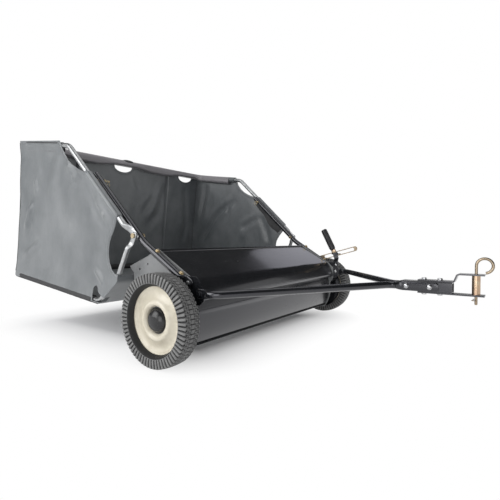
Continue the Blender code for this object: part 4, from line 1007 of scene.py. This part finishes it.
# %% Brush strips
pull = random.Random(7)
STRANDS, ROW_HALF, ROOT, STRAND_WIDTH = 170, 0.512, 0.060, 0.00125


def strand(bm, x, root, tip, lean, bow, width):
    rings = []
    for i in range(4):
        t = i / 3
        reach = root + (tip - root) * t
        sway = math.tan(lean) * (reach - root) + bow * t * t
        half = width * (1 - 0.72 * t)
        drift = x + bow * 0.8 * t * t
        corners = ((-half, -half), (half, -half), (half, half), (-half, half))
        rings.append([bm.verts.new((drift + a, reach, sway + b)) for a, b in corners])
    for low_ring, high_ring in zip(rings, rings[1:]):
        for i in range(4):
            j = (i + 1) % 4
            bm.faces.new((low_ring[i], low_ring[j], high_ring[j], high_ring[i]))
    bm.faces.new(rings[0][::-1])
    bm.faces.new(rings[-1])


for row in range(4):
    bpy.ops.mesh.primitive_cube_add(size=1.0)
    bar = named(f"brush_strip_{row + 1}_bristles")
    for vert in bar.data.vertices:
        vert.co = (vert.co.x * 1.030, 0.047 + vert.co.y * 0.038, vert.co.z * 0.0084)
    modified(bar, "BEVEL", width=0.0008, segments=2)
    bpy.ops.object.mode_set(mode="EDIT")
    bm = bmesh.from_edit_mesh(bar.data)
    for i in range(STRANDS):
        x = -ROW_HALF + 2 * ROW_HALF * (i + 0.5) / STRANDS + pull.uniform(-0.0012, 0.0012)
        for lean in (-5.0, 0.3, 5.5):
            angle = math.radians(lean + pull.uniform(-1.6, 1.6))
            tip = BRUSH_RADIUS * pull.uniform(0.955, 0.985)
            bow = pull.uniform(-0.003, 0.003)
            strand(bm, x + lean * 0.0003, ROOT, tip, angle, bow, STRAND_WIDTH)
    bmesh.update_edit_mesh(bar.data)
    bpy.ops.object.mode_set(mode="OBJECT")
    quarter = Matrix.Rotation(math.pi / 4 + row * math.pi / 2, 4, "X")
    bar.data.transform(Matrix.Translation((0, BRUSH_Y, BRUSH_Z)) @ quarter)
    tidy(bar, 1e-6)
    dressed(smoothed(bar, 40), "bristle", "brush", f"brush_strip_{row + 1}")
print("strands", STRANDS * 12, "faces", len(bar.data.polygons))

# %% [markdown]
# ## Bag
# The bag is one skin of coated cloth: an apron, a floor and a rear wall in one length, and
# two sides sewn to it. It is held by its sleeves and sags between them. Rulings are drawn
# from the wrap's edge to each side's free edge, as a sail maker lays out a panel. Then
# every point is moved by one sag function, so sleeves, hems and stitches can follow it.

# %% Bag shape
BAG_HALF = 0.5975
WRAP = [(0.2395, 0.2800), (0.2465, 0.2560), (0.3610, 0.1660)]
corner = [math.radians(a) for a in (-84, -62, -39, -16, 6)]
WRAP += [(LOWER_REAR[0] + 0.0112 * math.cos(a), LOWER_REAR[1] + 0.0112 * math.sin(a)) for a in corner]
WRAP += [(0.9625, 0.8550), (0.9618, 0.8655)]
FREE_EDGE = [
    (0.2395, 0.2800), (0.2610, 0.2850), (0.2840, 0.3000), (0.3010, 0.3230), (0.3060, 0.3500),
    (0.3050, 0.3800), (0.2980, 0.4080), (0.2800, 0.4330), (0.2620, 0.4550), (0.2480, 0.4780),
    (0.2410, 0.5010), (0.4310, 0.6775), (0.4480, 0.6725), (0.4720, 0.6800), (0.5060, 0.6930),
    (0.5450, 0.7130), (0.5750, 0.7370), (0.5960, 0.7630), (0.6090, 0.7900), (0.6200, 0.8180),
    (0.9618, 0.8655),
]


def length_of(line):
    return sum(math.dist(a, b) for a, b in zip(line, line[1:]))


def resampled(points, count):
    """The same line in a number of equal steps."""
    spans = [math.dist(a, b) for a, b in zip(points, points[1:])]
    made, walked, k = [], 0.0, 0
    for want in steady(0, sum(spans), count):
        while k < len(spans) - 1 and walked + spans[k] < want - 1e-9:
            walked += spans[k]
            k += 1
        made.append(between(points[k], points[k + 1], min(1.0, (want - walked) / spans[k])))
    return made


# Folds: a line of places, depth in metres and half width. Rear wall lines are (X, z),
# side lines are (y, z).
REAR_FOLDS = [
    ([(0.329, 0.806), (0.258, 0.578), (0.155, 0.473)], 0.0075, 0.026),
    ([(0.267, 0.792), (0.177, 0.529)], -0.0050, 0.022),
    ([(0.229, 0.691), (0.115, 0.565)], 0.0045, 0.020),
    ([(0.037, 0.828), (0.095, 0.711)], 0.0050, 0.014),
    ([(-0.10, 0.815), (-0.17, 0.560), (-0.14, 0.380)], 0.0065, 0.030),
    ([(0.470, 0.800), (0.520, 0.520), (0.480, 0.340)], 0.0075, 0.026),
    ([(-0.40, 0.820), (-0.47, 0.600), (-0.52, 0.380)], 0.0060, 0.028),
    ([(-0.30, 0.780), (-0.24, 0.520)], -0.0050, 0.024),
    ([(0.02, 0.640), (0.05, 0.360)], -0.0045, 0.030),
]
SIDE_FOLDS = {
    -1: [
        ([(0.419, 0.645), (0.361, 0.545), (0.284, 0.453)], 0.0085, 0.015),
        ([(0.846, 0.678), (0.827, 0.610)], 0.0045, 0.014),
        ([(0.870, 0.572), (0.938, 0.454)], 0.0075, 0.017),
        ([(0.813, 0.391), (0.964, 0.326)], 0.0060, 0.016),
        ([(0.531, 0.646), (0.450, 0.625)], 0.0045, 0.012),
        ([(0.580, 0.720), (0.514, 0.644)], 0.0050, 0.013),
        ([(0.640, 0.800), (0.720, 0.560)], 0.0040, 0.030),
        ([(0.330, 0.240), (0.400, 0.300)], 0.0050, 0.012),
    ],
    1: [
        ([(0.872, 0.798), (0.941, 0.544)], 0.0075, 0.020),
        ([(0.643, 0.667), (0.791, 0.571), (0.941, 0.386)], 0.0080, 0.020),
        ([(0.449, 0.542), (0.584, 0.476)], 0.0060, 0.018),
        ([(0.666, 0.656), (0.697, 0.538)], 0.0050, 0.015),
        ([(0.420, 0.560), (0.350, 0.380)], 0.0060, 0.018),
        ([(0.560, 0.420), (0.640, 0.260)], 0.0045, 0.022),
    ],
}


def segment_distance(point, line):
    """The gap from a point to a line, and the share of the line before its nearest place."""
    best, share, walked, length = 1e9, 0.0, 0.0, length_of(line)
    for a, b in zip(line, line[1:]):
        span = math.dist(a, b)
        t = ((point[0] - a[0]) * (b[0] - a[0]) + (point[1] - a[1]) * (b[1] - a[1])) / span**2
        t = min(1.0, max(0.0, t))
        gap = math.dist(point, between(a, b, t))
        if gap < best:
            best, share = gap, (walked + t * span) / length
        walked += span
    return best, share


def folded(point, folds):
    height = 0.0
    for line, depth, width in folds:
        gap, share = segment_distance(point, line)
        if gap < 4 * width:
            ends = min(1.0, share * 6 + 0.15, (1 - share) * 4 + 0.05)
            crest, furrow = math.exp(-((gap / width) ** 2)), math.exp(-((gap / width - 1.7) ** 2))
            height += depth * ends * (crest - 0.35 * furrow)
    return height


def eased(value, low, high):
    t = min(1.0, max(0.0, (value - low) / (high - low)))
    return t * t * (3 - 2 * t)


# The straight edges, in Y and Z, that a side of the bag is held on.
HELD_EDGES = (
    ((0.241, 0.501), (0.431, 0.6775)),
    ((0.620, 0.818), (0.962, 0.8655)),
    ((0.361, 0.166), (1.029, 0.236)),
    ((0.2395, 0.280), (0.361, 0.166)),
)


def wave(depth, *place):
    return noise.noise(Vector(place)) * depth


def sag(place):
    """Moves a point of the tight bag to where the slack cloth hangs."""
    x, y, z = place.x, place.y - AXLE_Y, place.z
    side = 1 if x > 0 else -1
    rear_y = 1.0290 - (z - 0.247) * (0.0665 / 0.608)
    on_side = eased(abs(x), BAG_HALF - 0.010, BAG_HALF - 0.002)
    on_rear = eased(y, rear_y - 0.012, rear_y - 0.003) * eased(z, 0.250, 0.262)
    floor_z = 0.166 + (y - 0.361) * (0.0705 / 0.657)
    on_floor = eased(floor_z + 0.010 - z, 0.0, 0.006) * eased(y, 0.355, 0.372) * (1 - eased(y, 1.006, 1.016))
    moved = Vector(place)
    if on_side > 0:
        loose = eased(min(segment_distance((y, z), edge)[0] for edge in HELD_EDGES), 0.006, 0.085)
        slack = wave(0.007, y * 4.2, z * 3.4, side * 3.7) + wave(0.0010, y * 21.0, z * 17.0, side * 5.5)
        slack += wave(0.0034, y * 9.0 + z * 5.0, z * 6.0 - y * 3.0, side * 9.1) - 0.0080
        deep = (slack + 1.25 * folded((y, z), SIDE_FOLDS[side])) * loose
        moved.x += side * max(-0.018, min(0.011, deep)) * on_side
    if on_rear > 0:
        loose = eased(0.828 - z, 0.0, 0.10) * eased(z - 0.262, 0.0, 0.08)
        stays = 1 - (0.65 if x < 0 else 0.25) * math.exp(-(((abs(x) - STAY_X) / 0.035) ** 2))
        corner = 1 - 0.55 * eased(abs(x), 0.50, 0.59)
        slack = 0.004 + wave(0.0085, x * 3.6, z * 2.6, 5.3) + wave(0.0018, x * 12.0, z * 5.0, 1.9)
        deep = (slack + folded((x, z), REAR_FOLDS)) * loose * stays * corner
        moved.y += max(-0.013, min(0.013, deep)) * on_rear
        moved.z -= 0.0035 * eased(z, 0.80, 0.865) * max(0.0, math.cos(x / HOPPER_X * math.pi / 2))
    if on_floor > 0:
        loose = eased(0.58 - abs(x), 0.0, 0.10) * eased(y, 0.38, 0.46) * (1 - eased(y, 0.93, 1.005))
        moved.z += (wave(0.007, x * 3.1, y * 3.4, 8.8) - 0.006) * loose * on_floor
    return moved


RULES, COLUMNS = 34, 120
wrap_line, free_line = resampled(WRAP, 148), resampled(FREE_EDGE, 148)
bm = bmesh.new()


def spread(rows):
    """Joins rows of places into a skin, with a face between each four neighbours."""
    rows = [[bm.verts.new(p) for p in row] for row in rows]
    for a, b in zip(rows, rows[1:]):
        for k in range(len(a) - 1):
            bm.faces.new((a[k], b[k], b[k + 1], a[k + 1]))


spread([[(x, y + AXLE_Y, z) for y, z in wrap_line] for x in steady(-BAG_HALF, BAG_HALF, COLUMNS)])
for side in (-1, 1):
    rulings = [[between(w, f, t) for t in steady(0, 1, RULES)] for w, f in zip(wrap_line, free_line)]
    spread([[(side * BAG_HALF, y + AXLE_Y, z) for y, z in ruling] for ruling in rulings])
bag = meshed("hopper_bag_cloth", [])
bm.to_mesh(bag.data)
bm.free()
tidy(bag, 4e-4)
for vert in bag.data.vertices:
    vert.co = sag(vert.co)
rear_middle = Vector((0.0, 0.99 + AXLE_Y, 0.55))
if min(bag.data.polygons, key=lambda f: (f.center - rear_middle).length).normal.y < 0:
    with editing(bag):
        bpy.ops.mesh.flip_normals()
modified(bag, "SOLIDIFY", thickness=0.0012, offset=0.0, use_even_offset=False)
print("bag faces", len(bag.data.polygons))

# %% [markdown]
# The hand holes are half-moons punched under the rear tube, and the corners of the floor
# have notches for the tube's bend.

# %% Bag holes
HAND_HOLES = (-0.47, -0.03, 0.47)
for x in HAND_HOLES:
    moon = axle_frame([(a, 0.93, z) for a, z in arc((x, 0.833), (0.060, 0.033), 180, 360, 24)])
    cut(bag, slab("punch", moon, (0, 0.07, 0)))
NOTCH = [(0.3200, 0.1690), (0.3210, 0.1900), (0.3370, 0.1950), (0.3520, 0.2020), (0.3650, 0.2130)]
NOTCH += [(0.3720, 0.2260), (0.3790, 0.2330), (0.3900, 0.2330)]
NOTCH += [(0.3980, 0.2260), (0.4010, 0.2100), (0.4010, 0.1750)]
for x in (-0.62, 0.57):
    notch = axle_frame([(x, y, z) for y, z in curved(NOTCH[1:], 4) + NOTCH[:1]])
    cut(bag, slab("punch", notch, (0.05, 0, 0)))
dressed(smoothed(bag, 40), "vinyl", "hopper", "hopper_bag")
print("bag faces", len(bag.data.polygons))

# %% [markdown]
# ## Sleeves of the bag
# The bag hangs on its frame by sewn sleeves: along each upper tube, round the rear top
# tube and along the lower tubes. A sleeve is a loose tube of the same cloth. It puckers a
# little, which is a slow noise on its radius.


# %% Sleeve helper
PUCKER, CLOTH_STEP = 0.0009, 0.012


def divided(route, length):
    """The same line in short steps, with its own corners kept."""
    fine = []
    for a, b in zip(route, route[1:]):
        steps = max(1, round((b - a).length / length))
        fine += [a.lerp(b, i / steps) for i in range(steps)]
    return fine + [route[-1]]


def round_back(start, back, bend):
    """A route round the back of the bag, from one side to the other."""
    ends = [(-HOPPER_X, *start), (-HOPPER_X, *back), (HOPPER_X, *back), (HOPPER_X, *start)]
    return rounded_route(axle_frame(ends), bend)


def sleeve(name, route, radius, seed, finish="vinyl"):
    fine = divided(route, CLOTH_STEP)
    obj = tube(name, fine, radius, 24)
    with editing(obj):
        pick_faces(obj, lambda p: min((p - fine[0]).length, (p - fine[-1]).length) < radius * 0.5)
        bpy.ops.mesh.delete(type="FACE")
    for vert in obj.data.vertices:
        here = vert.co * 30 + Vector((seed, 0, 0))
        vert.co += vert.normal * PUCKER * (noise.noise(here) + 0.4 * noise.noise(here * 3.1))
    modified(obj, "SOLIDIFY", thickness=0.0009, offset=1.0)
    return dressed(smoothed(obj, 60), finish, "hopper")


SLEEVES = []
for name, side in SIDES:
    start, end = axle_frame([(side * HOPPER_X, *PIVOT), (side * HOPPER_X, *UPPER_BEND)])
    way = (end - start).normalized()
    route = [start + way * 0.098, start + way * 0.356]
    SLEEVES.append(sleeve("bag_sleeve_upper_" + name, route, 0.0136, side * 4.0))
route = round_back((0.622, 0.7997), UPPER_REAR, 0.055)
SLEEVES.append(sleeve("bag_sleeve_top", route, 0.0134, 11.0))
# The bottom sleeve is near-black cloth, as painted shade under the bag.
route = round_back((0.412, 0.1804), LOWER_REAR, 0.045)
SLEEVES.append(sleeve("bag_sleeve_bottom", route, 0.0142, 17.0, "vinyl_trim_and_painted_shade"))
print("sleeves", len(SLEEVES))

# %% [markdown]
# ## Painted shade strips
# Where a side of the bag hangs from its tube, a black strip lies inside the cloth as
# painted shade. It is a narrow grid that follows the sag, a little inside the cloth.


# %% Painted shade strips
def cloth_grid(name, rows, finish, thickness=0.001):
    """A thickened sheet of cloth from rows of places."""
    wide = len(rows[0])
    corners = [i * wide + j for i in range(len(rows) - 1) for j in range(wide - 1)]
    faces = [(k, k + 1, k + wide + 1, k + wide) for k in corners]
    obj = tidy(meshed(name, [p for row in rows for p in row], (), faces))
    modified(obj, "SOLIDIFY", thickness=thickness, offset=0.0)
    return dressed(smoothed(obj, 60), finish, "hopper")


def painted_shade_strip(name, side):
    top, foot = Vector((0, 0.4260, 0.6690)), Vector((0, 0.2440, 0.5000))
    way = (foot - top).normalized()
    down = Vector((0, -way.z, way.y))
    rows = []
    for t in steady(0, 1, 40):
        width = 0.048 + 0.026 * eased(t, 0.0, 0.8) + 0.004 * math.sin(t * 11.0)
        row = []
        for k in range(9):
            p = top.lerp(foot, t) + down * width * k / 8
            held = sag(Vector((side * BAG_HALF, p.y + AXLE_Y, p.z)))
            row.append(held - Vector((side * (0.0026 + 0.0010 * math.sin(k + t * 9)), 0, 0)))
        rows.append(row)
    return cloth_grid(name, rows, "vinyl_trim_and_painted_shade", 0.0012)


print("strip helper ready")

# %% [markdown]
# ## Flap, webbing and stay pockets
# A flap runs down from the rear top tube and is sewn to the wall just above the hand
# holes. Its cloth is painted lighter, as painted light. Piping runs along the tube, and a
# loop of webbing goes round it. Below the flap two upright pockets hold the stay rods that
# keep the wall from bowing. A thin dark cord beside one of them is painted shade along its edge.


# %% Flap, webbing and pockets
def wall_y(z):
    """Where the tight rear wall is at a height, from the axle."""
    return 1.0290 - (z - 0.247) * 0.10937


def flap_drop(x):
    """How far the flap hangs: short at the hand holes, and sagging between them."""
    nearest = min(abs(x - hole) for hole in HAND_HOLES)
    return 0.0160 + 0.0150 * eased(nearest, 0.060, 0.20)


rows, piping_route = [], []
fine = divided(round_back((0.640, 0.8025), UPPER_REAR, 0.055), 0.010)[:-1]
for here, beyond in zip(fine, fine[1:]):
    along = (beyond - here).normalized()
    inward = Vector((0, 0, 1)).cross(along).normalized()
    if inward.dot(Vector((0, 0.55, 0)) - here) < 0:
        inward = -inward
    rear = eased(abs(inward.y), 0.2, 0.9)
    drop = 0.026 + (flap_drop(here.x) - 0.026) * rear
    ripple = 0.0014 * noise.noise(here * 9.0)
    wall = -0.0125 - 0.0020 * rear
    section = [(0.0078, 0.0138), (0.0145, 0.0090), (0.0185, 0.0010), (0.0215 + ripple, -0.45 * drop)]
    section += [(0.0205 + ripple, -0.80 * drop), (0.0120, -drop - 0.0010), (wall + 0.0018, -drop)]
    rows.append([here + inward * n + Vector((0, 0, z)) for n, z in curved(section, 3)])
    piping_route.append(here - inward * 0.0110 + Vector((0, 0, 0.0088)))
# The flap's lighter cloth is painted light.
flap = cloth_grid("bag_top_flap", rows, "vinyl_painted_light")
piping = drawn("bag_top_piping", piping_route, 0.0032, "vinyl_trim_and_painted_shade", "hopper", sides=12)
rows = []
for x in steady(-0.046, 0.024, 14):
    lift = 0.0046 * math.sin((x + 0.046) / 0.070 * math.pi) + wave(0.0014, x * 60, 0, 3)
    row = []
    for a in steady(0, math.tau, 24):
        reach = 0.0158 + lift * max(0.0, math.sin(a)) + 0.0006 * math.sin(5 * a)
        row.append((x, UPPER_REAR[0] + reach * math.cos(a), UPPER_REAR[1] + reach * math.sin(a)))
    rows.append(axle_frame(row))
webbing = cloth_grid("bag_top_webbing", rows, "vinyl_trim_and_painted_shade", 0.0016)
POCKETS = [painted_shade_strip("bag_facing_" + name, side) for name, side in SIDES]
# A dark cord down the wall by the right pocket: painted shade along its edge.
stay_shade_line = axle_frame([(-0.3175, wall_y(z), z) for z in steady(0.270, 0.818, 60)])
stay_shade_route = [sag(p) - Vector((0, 0.0014, 0)) for p in stay_shade_line]
POCKETS.append(drawn("bag_stay_shade_line", stay_shade_route, 0.0014, "vinyl_trim_and_painted_shade", "hopper", sides=8))
lean = (LOWER_REAR[0] - UPPER_REAR[0]) / (UPPER_REAR[1] - LOWER_REAR[1])
for name, side in SIDES:
    rows = []
    for z in steady(0.822, 0.268, 60):
        rod_y = UPPER_REAR[0] + (UPPER_REAR[1] - z) * lean
        row = []
        for step in (-1.0, -0.62, -0.30, 0.0, 0.30, 0.62, 1.0):
            x = side * STAY_X + 0.0062 * step
            wall = sag(Vector((x, wall_y(z) + AXLE_Y, z))).y - AXLE_Y
            crown = max(0.0, 1 - step * step) ** 0.6
            row.append((x, (wall - 0.0012) * (1 - crown) + (rod_y - 0.0058) * crown, z))
        rows.append(axle_frame(row))
    POCKETS.append(cloth_grid("bag_stay_pocket_" + name, rows, "vinyl"))
print("pockets made")

# %% [markdown]
# ## Hems and stitches
# A cut edge of coated cloth is folded over and sewn down. The hem is a flat band that
# wraps the edge, and two rows of stitches run along it. Both follow the sag.


# %% Hems
HEM_SECTION = [(0.0140, 0.0007), (0.0120, 0.0016), (0.0010, 0.0017), (-0.0009, 0.0)]
HEM_SECTION += [(inset, -proud) for inset, proud in HEM_SECTION[2::-1]]
STITCH, OUTER_ROW = 0.0065, 0.0105


def beside(line, amount):
    """A line moved to its left by an amount, in its own plane."""
    moved = []
    for i, p in enumerate(line):
        a, b = line[max(i - 1, 0)], line[min(i + 1, len(line) - 1)]
        length = math.dist(a, b)
        moved.append((p[0] - (b[1] - a[1]) / length * amount, p[1] + (b[0] - a[0]) / length * amount))
    return moved


def hem(name, line, place, outwards):
    """A folded hem along a line: place turns a line's point into a place on the bag."""
    bands = [[sag(place(p)) + outwards * proud for p in beside(line, inset)] for inset, proud in HEM_SECTION]
    wide, long = len(HEM_SECTION), len(line)
    faces = []
    for i in range(long - 1):
        for j in range(wide):
            n = (j + 1) % wide
            faces.append((i * wide + j, i * wide + n, (i + 1) * wide + n, (i + 1) * wide + j))
    faces += [tuple(range(wide)), tuple((long - 1) * wide + j for j in range(wide))]
    obj = meshed(name, [p for row in zip(*bands) for p in row], (), faces)
    return dressed(smoothed(tidy(obj), 50), "vinyl", "hopper")


def stitches(name, line, place, outwards, insets):
    """Rows of short threads lying on a hem, on both faces of the cloth."""
    verts, faces = [], []
    for inset in insets:
        row = resampled(beside(line, inset), max(2, int(length_of(line) / STITCH)))
        for a, b in zip(row, row[1:]):
            first, last = sag(place(a)), sag(place(between(a, b, 0.68)))
            along = (last - first).normalized()
            across = along.cross(outwards).normalized() * 0.00045
            for face in (-1, 1):
                base = len(verts)
                lift, crown = outwards * face * 0.0016, outwards * face * 0.0023
                dip = along * 0.0008
                for tip in (first + lift, first + crown + dip, last + crown - dip, last + lift):
                    verts += [tip - across, tip + across]
                for k in range(base, base + 6, 2):
                    faces.append((k, k + 1, k + 3, k + 2)[::face])
    return dressed(meshed(name, verts, (), faces), "thread", "hopper")


def trim(label, line, place, outwards, inset):
    """A hem and two rows of stitches on it, the first at the given distance from the edge."""
    outwards = Vector(outwards)
    band = hem("bag_hem_" + label, line, place, outwards)
    rows = (inset, OUTER_ROW)
    return [band, stitches("bag_stitches_" + label, line, place, outwards, rows)]


def on_side(side):
    return lambda p: Vector((side * BAG_HALF, p[0] + AXLE_Y, p[1]))


def on_wall(p):
    return Vector((p[0], wall_y(p[1]) + AXLE_Y, p[1]))


TRIMS = []
mouth, grip_edge = resampled(FREE_EDGE[:11], 60)[::-1], resampled(FREE_EDGE[11:-1], 26)[::-1]
for name, side in SIDES:
    for label, line in (("mouth_", mouth), ("grip_", grip_edge)):
        TRIMS += trim(label + name, line, on_side(side), (side, 0, 0), 0.0030)
for i, x in enumerate(HAND_HOLES):
    moon = arc((x, 0.8335), (0.0605, 0.0335), 180, 360, 28)[::-1]
    TRIMS += trim(f"hand_{i + 1}", moon, on_wall, (0, 1, 0), 0.0035)
print("trims", len(TRIMS))

# %% [markdown]
# ## Corner seams
# The sides are sewn to the wrap inside out, so a small ridge of cloth stands along each
# corner. It is a thin cord of cloth that follows the sag of the corner.

# %% Corner seams
SEAMS = []
for name, side in SIDES:
    x = side * BAG_HALF
    upright = [(x, wall_y(z), z) for z in steady(0.262, 0.856, 48)]
    floor_line = [(x, *between((0.365, 0.1668), (1.005, 0.2360), i / 48)) for i in range(49)]
    for label, line in (("rear", upright), ("floor", floor_line)):
        route = [sag(p) for p in axle_frame(line)]
        SEAMS.append(drawn(f"bag_seam_{label}_{name}", route, 0.0019, "vinyl_trim_and_painted_shade", "hopper", sides=8))
SLEEVES + POCKETS + SEAMS + [flap, piping, webbing] + TRIMS

# %% [markdown]
# ## Floor and light
# The photograph has a white ground with a soft shadow under the machine. The floor is a
# pale plane that glows for the camera. The glow grows with the distance from a box under
# the machine, so the ground reads white but keeps the shadow.

# %% Stage
SHADOW_Y, SHADOW_X_HALF, SHADOW_Y_HALF, SHADOW_EDGE = 0.42, 0.40, 0.46, 0.32
bpy.ops.mesh.primitive_plane_add(size=60.0, location=(0, 0, 0))
floor = named("floor")
ground = Finish("floor_white", (0.86, 0.86, 0.87), 0.9)
across = ground.node("SeparateXYZ", {0: ground.place()}, 0)
along = ground.node("SeparateXYZ", {0: ground.place()}, 1) - SHADOW_Y
out_x = ground.span((across * across) ** 0.5, SHADOW_X_HALF, SHADOW_X_HALF + 1.0)
out_y = ground.span((along * along) ** 0.5, SHADOW_Y_HALF, SHADOW_Y_HALF + 1.0)
share = ground.span((out_x * out_x + out_y * out_y) ** 0.5, 0.0, SHADOW_EDGE) ** 0.8 * 0.97 + 0.03
mirrored = ground.ray("Glossy") + ground.ray("Transmission")
sides = {1: Field(ground, ground.shader.outputs[0]), 2: ground.node("Emission")}
blend = ground.node("MixShader", {0: ground.ray("Camera") * share + mirrored * 0.72, **sides})
ground.tree.links.new(blend.socket, ground.tree.nodes["Material Output"].inputs["Surface"])
floor.data.materials.append(ground.material)


class Sky(Finish):
    """The studio's walls: white to the eye, softer as light, and dark above for gloss."""

    def __init__(self, world):
        world.use_nodes = True
        self.tree = world.node_tree
        self.shader = self.tree.nodes["Background"]


studio = bpy.data.worlds.new("studio")
bpy.context.scene.world = studio
sky = Sky(studio)
sky.preset({"Color": (1, 1, 1, 1)})
upward = sky.node("SeparateXYZ", {0: sky.node("TexCoord")}, 2)
walls = sky.span(upward, 0.02, 0.18, 1.0, 0.04)
to_eye, gloss = sky.ray("Camera") + sky.ray("Transmission"), sky.ray("Glossy")
AMBIENT = 0.55
sky.feed("Strength", to_eye + gloss * walls + (1.0 - sky.span(to_eye + gloss, 0.0, 1.0)) * AMBIENT)


def softbox(name, at, towards, size, radiance, tint=(1.0, 1.0, 1.0)):
    """A square soft light, of a given brightness for each square metre that it shows."""
    turn = (Vector(towards) - Vector(at)).to_track_quat("-Z", "Y").to_euler()
    bpy.ops.object.light_add(type="AREA", location=at, rotation=turn)
    lamp = bpy.context.active_object
    lamp.name = name
    lamp.data.shape, lamp.data.size = "SQUARE", size
    lamp.data.energy = radiance * math.pi * size * size
    lamp.data.color = tint
    lamp.visible_camera = False


softbox("side_light", (-2.7, 1.2, 1.6), (-0.4, 0.4, 0.3), 2.2, 3.9)
softbox("low_light", (-2.3, -0.9, 0.55), (-0.5, 0.2, 0.2), 1.3, 2.6)
softbox("top_light", (0.3, 0.2, 3.4), (0.1, 0.2, 0.3), 3.0, 1.0)
softbox("far_light", (2.90, 0.52, 1.50), (0.30, -0.02, 0.33), 1.0, 0.68, (0.90, 0.90, 1.0))
softbox("front_light", (2.3, -2.0, 0.7), (0.0, -0.1, 0.25), 1.2, 0.6)
